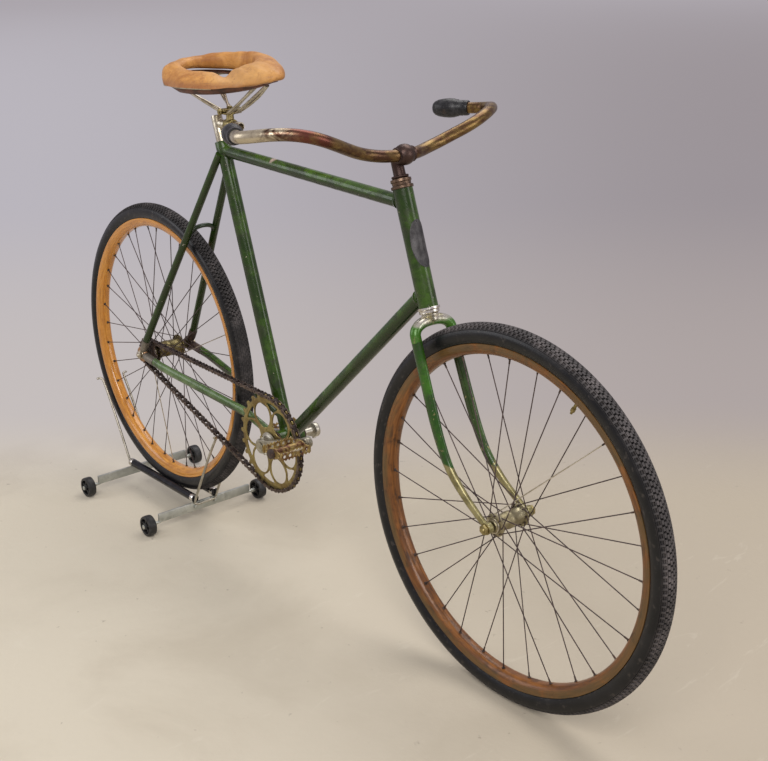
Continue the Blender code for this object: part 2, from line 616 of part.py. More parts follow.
stay_cutters = []
for sign in (-1, 1):
    tag = side(sign)
    drop = REAR + Y * sign * DROP_Y
    stay_top = SEAT_TOP - SEAT_DIR * SEAT_STAY_BELOW_SEAT + Y * sign * SEAT_STAY_TOP_Y
    knee = Vector((CHAIN_STAY_KNEE_X, sign * CHAIN_STAY_KNEE_Y, CHAIN_STAY_KNEE_Z))
    up = Vector((stay_top.x - drop.x, 0.0, stay_top.z - drop.z)).normalized()
    ahead = Vector((knee.x - drop.x, 0.0, knee.z - drop.z)).normalized()
    # fork end: a boss on the axle with a socket for each stay
    boss = cylinder("fork_end_" + tag, drop - Y * DROP_THICK / 2, drop + Y * DROP_THICK / 2, DROP_R, 16)
    join(boss, cylinder("socket_up_" + tag, drop + up * (NUT_R + 0.0025), drop + up * SEAT_SOCKET_LEN, SOCKET_R, 12),
         cylinder("socket_ahead_" + tag, drop + ahead * (NUT_R + 0.0025), drop + ahead * CHAIN_SOCKET_LEN, SOCKET_R, 12))
    cut(boss, cylinder("axle_hole_" + tag, drop - Y * 0.03, drop + Y * 0.03, bore(AXLE_R, GAP, 12), 12))
    put(boss, frame_body, COPPER if sign < 0 else STEEL)
    foot = drop + up * (SEAT_SOCKET_LEN + 0.0010)
    put(cut(cylinder("seat_stay_" + tag, foot, stay_top, STAY_R, 14), cut_seat, cut_top), frame_body, ENAMEL)
    stay_cutters.append(cylinder("cut_stay_" + tag, foot, stay_top, STAY_R + GAP, 14))
    start = drop + ahead * (CHAIN_SOCKET_LEN + 0.0006)
    route = [start, start + ahead * 0.030] + through_smooth([start + ahead * 0.080 - Y * sign * 0.0050, knee - ahead * 0.060 + Y * sign * 0.0060, knee,
             knee.lerp(BB + Y * sign * CHAIN_STAY_BB_Y, 0.45) + Vector((0.0, sign * 0.0015, 0.0025)), BB + Y * sign * CHAIN_STAY_BB_Y], 2)
    stay = as_mesh(tube("chain_stay_" + tag, route, CHAIN_STAY_HIGH, drop, detail=3, flat=CHAIN_STAY_FLAT))
    put(cut(stay, cut_bb, cut_seat), frame_body, ENAMEL)

# arched bridge between the seat stays, over the tyre
seat_join = SEAT_TOP - SEAT_DIR * SEAT_STAY_BELOW_SEAT
outward = (seat_join - REAR).normalized()
centre = REAR + outward * (WHEEL_R + BRIDGE_ABOVE_TYRE)
share = (WHEEL_R + BRIDGE_ABOVE_TYRE - SEAT_SOCKET_LEN) / ((seat_join - REAR).length - SEAT_SOCKET_LEN)
reach = DROP_Y + (SEAT_STAY_TOP_Y - DROP_Y) * share
arch = [centre - Y * reach] + [centre + Y * (-(reach - 0.006) * math.cos(math.pi * i / 8)) + outward * (BRIDGE_RISE * math.sin(math.pi * i / 8)) for i in range(9)] + [centre + Y * reach]
put(cut(as_mesh(tube("stay_bridge", arch, BRIDGE_R, centre, detail=2)), *stay_cutters), frame_body, ENAMEL)

# headset cups, and the rear axle with its nuts
put(turned("headset_lower", capped([(CUP_R, -GAP), (CUP_R, -CUP_H * 0.36), (CUP_R - 0.0023, -CUP_H * 0.48), (CUP_R - 0.0023, -CUP_H * 0.88), (CUP_R - 0.0058, -CUP_H)]), HEAD_LOW, HEAD_DIR, 16), frame_body, NICKEL)
put(turned("headset_upper", capped([(CUP_R - 0.0058, CUP_H * 1.52), (CUP_R - 0.0018, CUP_H * 1.40), (CUP_R - 0.0018, CUP_H * 0.98), (CUP_R - 0.0033, CUP_H * 0.88), (CUP_R - 0.0033, CUP_H * 0.50), (CUP_R - 0.0003, CUP_H * 0.40), (CUP_R - 0.0003, GAP)]),
           HEAD_TOP, HEAD_DIR, 16), frame_body, NICKEL)


def axle(name, nut_face, centre, body):
    end = nut_face + NUT_THICK + AXLE_STUB
    half = [(AXLE_R, end), (AXLE_R, nut_face + NUT_THICK), (NUT_R, nut_face + NUT_THICK), (NUT_R, nut_face), (AXLE_R, nut_face)]
    return put(turned(name, capped(half + [(r, -h) for r, h in reversed(half)]), centre, Y, 8), body, BRASS)


axle("rear_axle", DROP_Y + DROP_THICK / 2 + GAP, REAR, frame_body)
axle("front_axle", FORK_RAKE_TIP_Y + TIP_THICK / 2 + GAP, FRONT, steering)

# seat pillar with its forward arm
pillar_top = SEAT_TOP + SEAT_DIR * PILLAR_UP
arm_at = pillar_top - SEAT_DIR * 0.0170
pillar = cylinder("seat_pillar", SEAT_TOP + SEAT_DIR * GAP, pillar_top, PILLAR_R, 18)
join(pillar, cylinder("pillar_arm", arm_at - Vector((0.004, 0, 0)), arm_at + Vector((PILLAR_ARM, 0, 0)), PILLAR_ARM_R, 16))
put(pillar, frame_body, NICKEL)


# ---------------------------------------------------------------------- saddle
def egg(offset, count):
    """The saddle's outline in plan, moved inwards by offset: wide behind, narrow at the nose."""
    mid = SADDLE_BACK + 0.38 * (SADDLE_NOSE - SADDLE_BACK)
    out = []
    for i in range(count):
        w = 2 * math.pi * i / count
        c, s = math.cos(w), math.sin(w)
        if c < 0:
            x = mid + (mid - SADDLE_BACK - offset) * c
            y = (SADDLE_HALF_W - offset) * s
        else:
            length = SADDLE_NOSE - mid - offset * 1.75
            x = mid + length * c
            y = (SADDLE_HALF_W - offset) * s * (1.0 - 0.42 * c ** 1.5)
        out.append((x, y))
    return out


def saddle():
    """A coarse ring, drawn out to the outline of the saddle and then smoothed."""
    around, across, levels = 14, 6, 1
    bpy.ops.mesh.primitive_torus_add(major_segments=around, minor_segments=across, major_radius=1.0, minor_radius=0.5)
    ob = bpy.context.object
    ob.name = ob.data.name = "saddle"
    outer, inner = egg(0.0, around), egg(SADDLE_BAND, around)
    fuller = 1.15                     # smoothing draws the section in
    for v in ob.data.vertices:
        k = round(math.atan2(v.co.y, v.co.x) / (2 * math.pi) * around) % around
        u, t = (math.hypot(v.co.x, v.co.y) - 1.0) / 0.5 * fuller, v.co.z / 0.5 * fuller
        (ox, oy), (ix, iy) = outer[k], inner[k]
        mid_x, mid_y = (ox + ix) / 2, (oy + iy) / 2
        far = 2 * (mid_x - SADDLE_BACK) / (SADDLE_NOSE - SADDLE_BACK) - 1
        z = SADDLE_THICK / 2 * t - (SADDLE_DIP * (1 - far ** 2) if t > 0 else 0.0)
        v.co = (mid_x + (ox - ix) / 2 * u - SADDLE_BACK, mid_y + (oy - iy) / 2 * u, z)
    for group in list(ob.users_collection):
        group.objects.unlink(ob)
    tools.objects.link(ob)
    ob.data.shade_smooth()
    mod = ob.modifiers.new("smooth", 'SUBSURF')
    mod.levels = mod.render_levels = levels
    # seat the smoothed ring on its base
    bpy.context.view_layer.update()
    low = min((ob.matrix_world @ v.co).z for v in ob.evaluated_get(bpy.context.evaluated_depsgraph_get()).data.vertices)
    ob.location = (SADDLE_BACK, 0.0, SADDLE_LOW + GAP - low)
    return put(ob, frame_body, LEATHER)


saddle()
base = plate("saddle_frame", [egg(0.010, 20), egg(SADDLE_BAND - 0.010, 20)], BASE_T, (0.0, 0.0, SADDLE_LOW - BASE_T / 2))
base.rotation_euler = (0.0, 0.0, 0.0)
base = as_mesh(base)
clamp_at = Vector((arm_at.x + PILLAR_ARM * 0.55, 0.0, arm_at.z + 0.0290))
join(base, block("saddle_clamp", clamp_at + Vector((-0.0130, -RAIL_Y - 0.0070, -(0.0290 - PILLAR_ARM_R - GAP))), clamp_at + Vector((0.0130, RAIL_Y + 0.0070, 0.0080))))
for sign in (-1, 1):
    route = through_smooth([(SADDLE_BACK + 0.0260, sign * 0.056, SADDLE_LOW - BASE_T / 2), (SADDLE_BACK + 0.0700, sign * 0.034, SADDLE_LOW - 0.0300), clamp_at + Vector((-0.010, sign * RAIL_Y, 0.0)),
                            clamp_at + Vector((0.018, sign * RAIL_Y, 0.001)), (SADDLE_NOSE - 0.0840, sign * 0.018, SADDLE_LOW - 0.0300), (SADDLE_NOSE - 0.0420, sign * 0.016, SADDLE_LOW - BASE_T / 2)], 1)
    join(base, as_mesh(tube("rail_" + side(sign), route, RAIL_R, clamp_at, detail=1)))
put(base, frame_body, NICKEL)

# -------------------------------------------------------------------- steering
cup_low = HEAD_LOW - HEAD_DIR * CUP_H
crown_mid = cup_low - HEAD_DIR * (RACE_GAP + CROWN_R + 0.0008)
axis_gap = FRONT - HEAD_LOW
along = axis_gap.dot(-HEAD_DIR)                      # down the steering axis to the axle's level
RAKE = (axis_gap + HEAD_DIR * along).length          # axle ahead of the steering axis
AHEAD = Vector((math.sin(HEAD_ANGLE), 0.0, math.cos(HEAD_ANGLE)))


def fork_point(down, ahead, y):
    return HEAD_LOW - HEAD_DIR * down + AHEAD * ahead + Y * y


SHOULDER = 0.0560            # down the axis to where the crown ends and the blades start
shoulder_y = FORK_RAKE_TIP_Y - 0.0060
for sign in (-1, 1):
    tag = side(sign)
    tip = FRONT + Y * sign * FORK_RAKE_TIP_Y
    reach = along - SHOULDER
    route = through_smooth([fork_point(SHOULDER, 0.0, sign * shoulder_y), fork_point(SHOULDER + 0.02, 0.0, sign * shoulder_y)] +
                           [fork_point(SHOULDER + reach * d, RAKE * a, sign * (shoulder_y + (FORK_RAKE_TIP_Y - shoulder_y) * d))
                            for d, a in ((0.20, 0.02), (0.36, 0.045), (0.52, 0.09), (0.68, 0.21), (0.82, 0.48), (0.93, 0.78))] + [tip], 2)
    del route[1:4]                # straight down from the crown
    count = len(route)
    taper = [1.0 - (1.0 - BLADE_TIP_R / BLADE_R) * max(0.0, (i / (count - 1) - 0.35) / 0.65) for i in range(count)]
    blade = as_mesh(tube("fork_blade_" + tag, route, BLADE_R, tip, taper=taper, detail=2, flat=BLADE_FLAT))
    join(blade, cylinder("fork_tip_" + tag, tip - Y * TIP_THICK / 2, tip + Y * TIP_THICK / 2, TIP_R, 12))
    cut(blade, cylinder("tip_hole_" + tag, tip - Y * 0.03, tip + Y * 0.03, bore(AXLE_R, GAP, 12), 12))
    put(blade, steering, ENAMEL)

half_crown = [fork_point(SHOULDER - 2 * GAP, 0.0, shoulder_y), fork_point(SHOULDER - 0.010, 0.0, shoulder_y)]
top_down = (HEAD_LOW - crown_mid).length
for i in range(1, 5):
    w = math.radians(90) * i / 4
    half_crown.append(fork_point(SHOULDER - 0.010 - (SHOULDER - 0.010 - top_down) * math.sin(w), 0.0, shoulder_y * math.cos(w) ** 0.8 if i < 4 else 0.0))
crown_route = [Vector((p.x, -p.y, p.z)) for p in half_crown] + half_crown[-2::-1]
crown = as_mesh(tube("fork_crown", crown_route, CROWN_R, crown_mid, detail=2))
join(crown, cylinder("crown_stub", cup_low - HEAD_DIR * RACE_GAP, crown_mid + HEAD_DIR * 0.0031, CUP_R - 0.0062, 18))
put(crown, steering, NICKEL)

stem_low = HEAD_TOP + HEAD_DIR * (CUP_H * 1.52 + RACE_GAP)
bar_c = HEAD_TOP + Vector((BAR_AHEAD, 0.0, BAR_UP))
stem = cylinder("stem", stem_low, stem_low + HEAD_DIR * STEM_LEN, STEM_R, 14)
join(stem, cylinder("stem_lug", stem_low + HEAD_DIR * (STEM_LEN - 0.009), bar_c, CLAMP_R * 0.68, 12),
     turned("stem_clamp", capped([(CLAMP_R * 0.68, CLAMP_HALF), (CLAMP_R, CLAMP_HALF * 0.45), (CLAMP_R, -CLAMP_HALF * 0.45), (CLAMP_R * 0.68, -CLAMP_HALF)]), bar_c, Y, 16))
cut(stem, cylinder("bar_hole", bar_c - Y * 0.04, bar_c + Y * 0.04, bore(BAR_R, GAP, 14), 14))
put(stem, steering, NICKEL)

# handlebar: out of the clamp, forward and up, then back to the grips
BAR_ROUTE = [(0.0, 0.0, 0.0), (0.0, 0.0220, 0.0), (-0.0070, 0.0430, 0.0006), (-0.0125, 0.0680, 0.0045), (-0.0125, 0.0950, 0.0115), (-0.0080, 0.1230, 0.0215), (-0.0020, 0.1520, 0.0325),
             (-0.0005, 0.1800, 0.0430), (-0.0070, 0.2080, 0.0515), (-0.0215, 0.2350, 0.0560), (-0.0410, 0.2590, 0.0560), (-0.0645, 0.2770, 0.0530), (-0.0885, 0.2845, 0.0500), (-0.1075, 0.2790, 0.0485)]
GRIP_END = (-0.1855, 0.2410, 0.0450)
half_bar = [bar_c + Vector(p) for p in BAR_ROUTE]
grip_dir = (bar_c + Vector(GRIP_END) - half_bar[-1]).normalized()
grip_from = half_bar[-1] + grip_dir * 0.0120
smooth_half = half_bar + [grip_from]
bar_route = [Vector((p.x, -p.y, p.z)) for p in reversed(smooth_half)] + smooth_half[1:]
put(tube("handlebar", bar_route, BAR_R, bar_c, detail=3), steering, BRASS)
for sign in (-1, 1):
    a, b = grip_from + grip_dir * GAP, bar_c + Vector(GRIP_END)
    a, b = Vector((a.x, a.y * sign, a.z)), Vector((b.x, b.y * sign, b.z))
    n = (b - a).length
    put(turned("grip_" + side(sign), capped([(GRIP_R * 0.50, n), (GRIP_R * 0.82, n - 0.008), (GRIP_R, n * 0.5), (GRIP_R * 0.90, 0.022), (GRIP_R * 0.79, 0.014), (GRIP_R * 0.75, 0.0)]), a, b - a, 12), steering, GRIP)

# --------------------------------------------------------------- rolling stand
bar_top = STAND_BAR_LOW + STAND_BAR_H
bar_end = STAND_TRACK - STAND_WHEEL_W / 2 - 0.0180
for tag, x, away in (("rear", STAND_BACK_X, -1), ("front", STAND_FRONT_X, 1)):
    bar = block("stand_bar_" + tag, (x - STAND_BAR_T / 2, -bar_end, STAND_BAR_LOW), (x + STAND_BAR_T / 2, bar_end, bar_top))
    for sign in (-1, 1):
        hub = Vector((x, sign * STAND_TRACK, STAND_WHEEL_R))
        half = STAND_WHEEL_W / 2
        join(bar, cylinder("stand_axle_%s_%s" % (tag, side(sign)), hub - Y * sign * (half + 0.0230), hub + Y * sign * (half + 0.0030), STAND_AXLE_R, 8),
             cylinder("stand_head_%s_%s" % (tag, side(sign)), hub + Y * sign * (half + 0.0005), hub + Y * sign * (half + 0.0045), STAND_AXLE_R * 1.9, 6),
             cylinder("stand_collar_%s_%s" % (tag, side(sign)), hub - Y * sign * (half + 0.0065), hub - Y * sign * (half + 0.0005), STAND_AXLE_R * 1.7, 6))
        name = "stand_wheel_%s_%s" % (tag, side(sign))
        body = pivot(name + "_axis", hub)
        hole = bore(STAND_AXLE_R, RUNNING, 16)
        put(turned(name, [(STAND_WHEEL_R - 0.0028, half), (STAND_WHEEL_R, 0.0), (STAND_WHEEL_R - 0.0028, -half), (hole, -half), (hole, half)], hub, Y, 16, ring=True), body, RUBBER)
    put(bar, frame_body, ZINC)
    # wire prongs that hold the tyre upright, one piece across the bar's outer face
    px = x + away * (STAND_BAR_T / 2 + PRONG_R + GAP)
    z0 = bar_top - PRONG_R - 0.0015
    rise = PRONG_TOP - z0
    half = [(px, 0.0, z0), (px, PRONG_Y - 0.0090, z0), (px, PRONG_Y - 0.0020, z0 + 0.0025), (px, PRONG_Y, z0 + 0.0100), (px + away * PRONG_LEAN * 0.30, PRONG_Y, z0 + rise * 0.36),
            (px + away * PRONG_LEAN * 0.68, PRONG_Y, z0 + rise * 0.74), (px + away * PRONG_LEAN * 0.93, PRONG_Y, z0 + rise * 0.96), (px + away * PRONG_LEAN, PRONG_Y + 0.0030, PRONG_TOP), (px + away * (PRONG_LEAN + 0.0040), PRONG_Y + 0.0130, PRONG_TOP)]
    half = [Vector(p) for p in half]
    put(tube("stand_prongs_" + tag, [Vector((p.x, -p.y, p.z)) for p in reversed(half)] + half[1:], PRONG_R, (x, 0.0, bar_top), detail=1), frame_body, ZINC)

# the tyre rests between two black tubes, which lie on the cross bars
tube_z = bar_top + STAND_TUBE_R + GAP
rest = TYRE_R + STAND_TUBE_R + SEATED
tube_y = math.sqrt(rest ** 2 - (LIFT + TYRE_R - tube_z) ** 2)
for sign in (-1, 1):
    put(cylinder("stand_tube_" + side(sign), (STAND_BACK_X - STAND_BAR_T / 2, sign * tube_y, tube_z), (STAND_FRONT_X + STAND_BAR_T / 2, sign * tube_y, tube_z), STAND_TUBE_R, 16), frame_body, BLACK)
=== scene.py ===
import math

import bpy
import bmesh
from mathutils import Matrix, Vector


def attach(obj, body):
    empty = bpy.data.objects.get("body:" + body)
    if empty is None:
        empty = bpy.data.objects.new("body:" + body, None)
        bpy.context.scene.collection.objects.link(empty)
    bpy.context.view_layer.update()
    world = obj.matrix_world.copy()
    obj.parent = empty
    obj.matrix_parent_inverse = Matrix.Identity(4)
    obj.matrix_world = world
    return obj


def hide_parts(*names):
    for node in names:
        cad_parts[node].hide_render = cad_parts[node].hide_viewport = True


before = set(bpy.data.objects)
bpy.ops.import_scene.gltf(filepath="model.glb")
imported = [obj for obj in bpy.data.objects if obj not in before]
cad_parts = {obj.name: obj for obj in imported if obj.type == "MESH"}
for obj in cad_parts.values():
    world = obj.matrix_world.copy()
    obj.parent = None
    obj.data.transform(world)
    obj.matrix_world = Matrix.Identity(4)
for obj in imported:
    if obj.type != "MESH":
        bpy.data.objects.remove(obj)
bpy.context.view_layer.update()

# The studio: a plain concrete floor that blends into a lilac-grey wall behind the
# bicycle, soft lamps, and the camera at the photograph's place.
class Finish:
    """One socket of a material; arithmetic on it writes its Math nodes."""

    def __init__(self, tree, socket=None):
        self.tree, self.socket = tree, socket

    def node(self, kind, settings=None, sockets=None, out=0):
        made = self.tree.nodes.new(kind)
        for key, value in (settings or {}).items():
            if key == "stops":
                for place, colour in value[1:-1]:
                    made.color_ramp.elements.new(place)
                for stop, (place, colour) in zip(made.color_ramp.elements, value):
                    stop.position, stop.color = place, (*colour, 1.0)
            else:
                setattr(made, key, value)
        for key, value in (sockets or {}).items():
            if isinstance(value, Finish):
                self.tree.links.new(value.socket, made.inputs[key])
            else:
                made.inputs[key].default_value = value
        return Finish(self.tree, made.outputs[out])

    def math(self, operation, *values):
        return self.node("ShaderNodeMath", {"operation": operation}, dict(enumerate(values)))

    def __add__(self, other): return self.math("ADD", self, other)
    def __radd__(self, other): return self.math("ADD", other, self)
    def __sub__(self, other): return self.math("SUBTRACT", self, other)
    def __rsub__(self, other): return self.math("SUBTRACT", other, self)
    def __mul__(self, other): return self.math("MULTIPLY", self, other)
    def __rmul__(self, other): return self.math("MULTIPLY", other, self)
    def __truediv__(self, other): return self.math("DIVIDE", self, other)
    def __pow__(self, other): return self.math("POWER", self, other)

    def most(self, other): return self.math("MAXIMUM", self, other)
    def least(self, other): return self.math("MINIMUM", self, other)
    def size(self): return self.math("ABSOLUTE", self)

    def among(self, low, high):
        """0 at low, 1 at high, with soft ends."""
        return self.node("ShaderNodeMapRange", {"interpolation_type": "SMOOTHSTEP"}, {0: self, 1: low, 2: high, 3: 0.0, 4: 1.0})

    def mix(self, under, over):
        """The colour over lies on the colour under where this mask is 1."""
        full = lambda c: c if isinstance(c, Finish) else (*c, 1.0)
        return self.node("ShaderNodeMix", {"data_type": "RGBA"}, {0: self, 6: full(under), 7: full(over)}, out=2)

    def stretch(self, x, y, z):
        return self.node("ShaderNodeVectorMath", {"operation": "MULTIPLY"}, {0: self, 1: (x, y, z)})

    def noise(self, scale, detail=4.0, rough=0.55, warp=0.0):
        return self.node("ShaderNodeTexNoise", None, {"Vector": self, "Scale": scale, "Detail": detail, "Roughness": rough, "Distortion": warp})

    def cells(self, scale, feature="F1"):
        return self.node("ShaderNodeTexVoronoi", {"feature": feature}, {"Vector": self, "Scale": scale})

    def axes(self):
        split = self.node("ShaderNodeSeparateXYZ", None, {0: self})
        return [Finish(self.tree, out) for out in split.socket.node.outputs]


def start(name):
    """A new material and the Object coordinates in it."""
    mat = bpy.data.materials.new(name)
    mat.use_nodes = True
    return mat, Finish(mat.node_tree).node("ShaderNodeTexCoord", out="Object")


def lay(mat, colour, rough, metal=0.0, height=None, depth=0.0003, coat=0.0, shine=0.5, coat_rough=0.12):
    """Put the worked-out colour, roughness and relief on the material's surface."""
    tree = mat.node_tree
    bsdf = tree.nodes["Principled BSDF"]
    for key, value in (("Base Color", colour), ("Roughness", rough), ("Metallic", metal)):
        if isinstance(value, Finish):
            tree.links.new(value.socket, bsdf.inputs[key])
        else:
            bsdf.inputs[key].default_value = (*value, 1.0) if key == "Base Color" else value
    bsdf.inputs["Coat Weight"].default_value = coat
    bsdf.inputs["Coat Roughness"].default_value = coat_rough
    bsdf.inputs["Specular IOR Level"].default_value = shine
    if height is not None:
        bump = Finish(tree).node("ShaderNodeBump", None, {"Strength": 1.0, "Distance": depth, "Height": height})
        tree.links.new(bump.socket, bsdf.inputs["Normal"])
    return mat


def show(name, bm, mat, crease=40):
    """Weld a made mesh, turn its faces outwards and put it in the scene."""
    bmesh.ops.remove_doubles(bm, verts=bm.verts, dist=0.000004)
    bmesh.ops.recalc_face_normals(bm, faces=bm.faces)
    mesh = bpy.data.meshes.new(name)
    bm.to_mesh(mesh)
    bm.free()
    mesh.shade_smooth()
    mesh.set_sharp_from_angle(angle=math.radians(crease))
    mesh.materials.append(mat)
    ob = bpy.data.objects.new(name, mesh)
    bpy.context.scene.collection.objects.link(ob)
    return ob


def seen_by_eye(tree):
    """1 where the camera, a mirror or a lens looks, 0 for what lights the bicycle."""
    ray = lambda name: Finish(tree).node("ShaderNodeLightPath", out=name)
    return ray("Is Camera Ray").most(ray("Is Glossy Ray")).most(ray("Is Transmission Ray"))


def shown_plain(tree, plain, mask, lit):
    """The shader lit, with the light of its own of the shader plain where mask is 1."""
    return Finish(tree).node("ShaderNodeMixShader", None, {0: mask, 1: lit, 2: plain})


floor_mat, place = start("concrete_floor")
x, y, z = place.axes()
off, across = x * -0.762 + y * 0.647, x * 0.647 + y * 0.762
distance = (x * x + y * y) ** 0.5
far_round = distance.among(2.8, 4.6)
wall = (off + place.noise(0.9, 2.0) * 0.35 - 0.17).among(0.35, 1.15).most(far_round)
# painted light: left runs from 1 at the left of the camera's view to 0 at its right, and the concrete is painted
# lighter on the left, a painted pool of light
left = ((across - 0.156) / (off.most(0.0) + 2.371)).among(0.32, -0.32)
stains = place.noise(2.2, 6.0, 0.6, 0.4).among(0.42, 0.72) * 0.5
specks = place.noise(34.0, 3.0, 0.6).among(0.68, 0.76)
scuffs = place.stretch(1.0, 0.25, 1.0).noise(16.0, 5.0, 0.65, 1.6).among(0.62, 0.70)
concrete = left.mix((0.480, 0.412, 0.325), (0.640, 0.572, 0.462))
concrete = stains.mix(concrete, (0.470, 0.404, 0.312))
concrete = (specks * 0.7).mix(concrete, (0.330, 0.275, 0.215))
concrete = (scuffs * 0.18).mix(concrete, (0.690, 0.630, 0.530))
lay(floor_mat, concrete, 0.75, shine=0.25, height=place.noise(60.0, 5.0, 0.6), depth=0.0008)
# the wall is also painted lighter towards the left of the view, as painted light
plaster = left.mix((0.330, 0.296, 0.315), (0.490, 0.466, 0.510))
plaster = off.among(4.5, 0.7).mix(plaster, left.mix((0.430, 0.378, 0.368), (0.560, 0.515, 0.505)))
plaster = distance.among(7.0, 42.0).mix(plaster, (0.410, 0.380, 0.412))
tree = floor_mat.node_tree
own_light = Finish(tree).node("ShaderNodeEmission", None, {"Color": plaster, "Strength": 1.0})
lit = Finish(tree, tree.nodes["Principled BSDF"].outputs[0])
tree.links.new(shown_plain(tree, own_light, wall * seen_by_eye(tree), lit).socket, tree.nodes["Material Output"].inputs["Surface"])
bm = bmesh.new()
bmesh.ops.create_grid(bm, x_segments=2, y_segments=2, size=90.0)
show("studio_floor", bm, floor_mat)

world = bpy.data.worlds.new("studio")
bpy.context.scene.world = world
world.use_nodes = True
sky = Finish(world.node_tree)
tint = sky.node("ShaderNodeBackground", None, {"Color": (0.94, 0.95, 1.0, 1.0), "Strength": 0.42})
back = sky.node("ShaderNodeBackground", None, {"Color": (0.410, 0.380, 0.412, 1.0), "Strength": 1.0})
both = shown_plain(world.node_tree, back, seen_by_eye(world.node_tree), tint)
world.node_tree.links.new(both.socket, world.node_tree.nodes["World Output"].inputs["Surface"])


def lamp(name, at, aim, size, power, colour=(1.0, 0.98, 0.95)):
    data = bpy.data.lights.new(name, "AREA")
    data.shape, data.size, data.size_y = "RECTANGLE", size[0], size[1]
    data.energy, data.color = power, colour
    ob = bpy.data.objects.new(name, data)
    ob.location = at
    ob.rotation_euler = (Vector(aim) - Vector(at)).to_track_quat("-Z", "Y").to_euler()
    bpy.context.scene.collection.objects.link(ob)


lamp("key_lamp", (2.6, -2.4, 3.2), (0.0, 0.0, 0.4), (2.2, 2.2), 105.0)
lamp("fill_lamp", (-2.6, -3.0, 2.2), (0.0, 0.0, 0.5), (2.4, 2.4), 42.0, (0.96, 0.97, 1.0))
lamp("top_lamp", (-0.4, 1.6, 3.6), (0.0, 0.0, 0.3), (3.0, 2.0), 62.0)
lamp("side_lamp", (3.4, 1.6, 1.6), (0.3, 0.0, 0.5), (1.4, 2.0), 26.0)

cam = bpy.data.cameras.new("photo_camera")
cam.sensor_width, cam.lens = 36.0, 1210.678 * 36.0 / 768
cam.shift_x, cam.shift_y = 0.00102, -0.03011
yaw, pitch, roll = 2.43768857927468, 0.32011414073837735, -0.014216475682370685
ahead = Vector((math.cos(yaw) * math.cos(pitch), math.sin(yaw) * math.cos(pitch), -math.sin(pitch)))
right = Vector((math.sin(yaw), -math.cos(yaw), 0.0))
up = right.cross(ahead)
right, up = right * math.cos(roll) + up * math.sin(roll), up * math.cos(roll) - right * math.sin(roll)
camera = bpy.data.objects.new("photo_camera", cam)
camera.matrix_world = Matrix.Translation((1.9096, -1.4162, 1.3017)) @ Matrix((right, up, -ahead)).transposed().to_4x4()
bpy.context.scene.collection.objects.link(camera)
bpy.context.scene.camera = camera
bpy.context.scene.view_settings.view_transform = "Standard"

# Tyres: black rubber with smooth walls, a ladder of square pits between two thin ribs
# on each shoulder and staggered blocks over the crown. They are stretched onto the rims.
FRONT, REAR = Vector((0.5745, 0.0, 0.3556)), Vector((-0.5745, 0.0, 0.4013))
TREAD_DEEP, PITCHES = 0.0014, 214


def piece(name, bm, mat, body, slot, *nodes, crease=40):
    """A shown piece that rides on its body and stands for its CAD nodes."""
    ob = show(name, bm, mat, crease)
    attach(ob, body)
    if nodes:
        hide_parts(*nodes)
    return ob


def put_in(bm, part, matrix=Matrix()):
    """Add a finished part to a piece, at its place."""
    mesh = bpy.data.meshes.new("part")
    part.to_mesh(mesh)
    part.free()
    mesh.transform(matrix)
    bm.from_mesh(mesh)
    bpy.data.meshes.remove(mesh)


def facing(centre, axis):
    return Matrix.Translation(centre) @ Vector(axis).to_track_quat("Z", "Y").to_matrix().to_4x4()


def spun(bm, profile, centre, axis, steps=40, closed=False):
    """Turn a line of (radius, height) points round an axis."""
    part = bmesh.new()
    line = [part.verts.new((r, 0.0, h)) for r, h in profile]
    edges = [part.edges.new(pair) for pair in zip(line, line[1:])]
    if closed:
        edges.append(part.edges.new((line[-1], line[0])))
    bmesh.ops.spin(part, geom=line + edges, cent=(0, 0, 0), axis=(0, 0, 1), angle=2 * math.pi, steps=steps, use_merge=True)
    put_in(bm, part, facing(centre, axis))


def rubber(name, centre, dusty):
    mat, place = start(name)
    x, y, z = place.node("ShaderNodeVectorMath", {"operation": "SUBTRACT"}, {0: place, 1: tuple(centre)}).axes()
    across = (x * x + z * z) ** 0.5
    crown = across.among(0.3425, 0.3520)
    dust = place.noise(26.0, 6.0, 0.65).among(0.42, 0.70)
    scuff = place.stretch(1.0, 3.0, 1.0).noise(90.0, 5.0, 0.6).among(0.56, 0.72)
    wallc = (dust * 0.26).mix((0.0055, 0.0055, 0.0065), (0.024, 0.022, 0.024))
    treadc = (dust * 0.8 * dusty).mix(tuple(c * dusty for c in (0.056, 0.050, 0.051)), (0.160, 0.140, 0.140))
    base = (scuff * 0.30).mix(crown.mix(wallc, treadc), (0.130, 0.108, 0.094))
    return lay(mat, base, 0.30 + crown * 0.42 + dust * 0.10, height=place.noise(150.0, 4.0), depth=0.00018, shine=0.30)


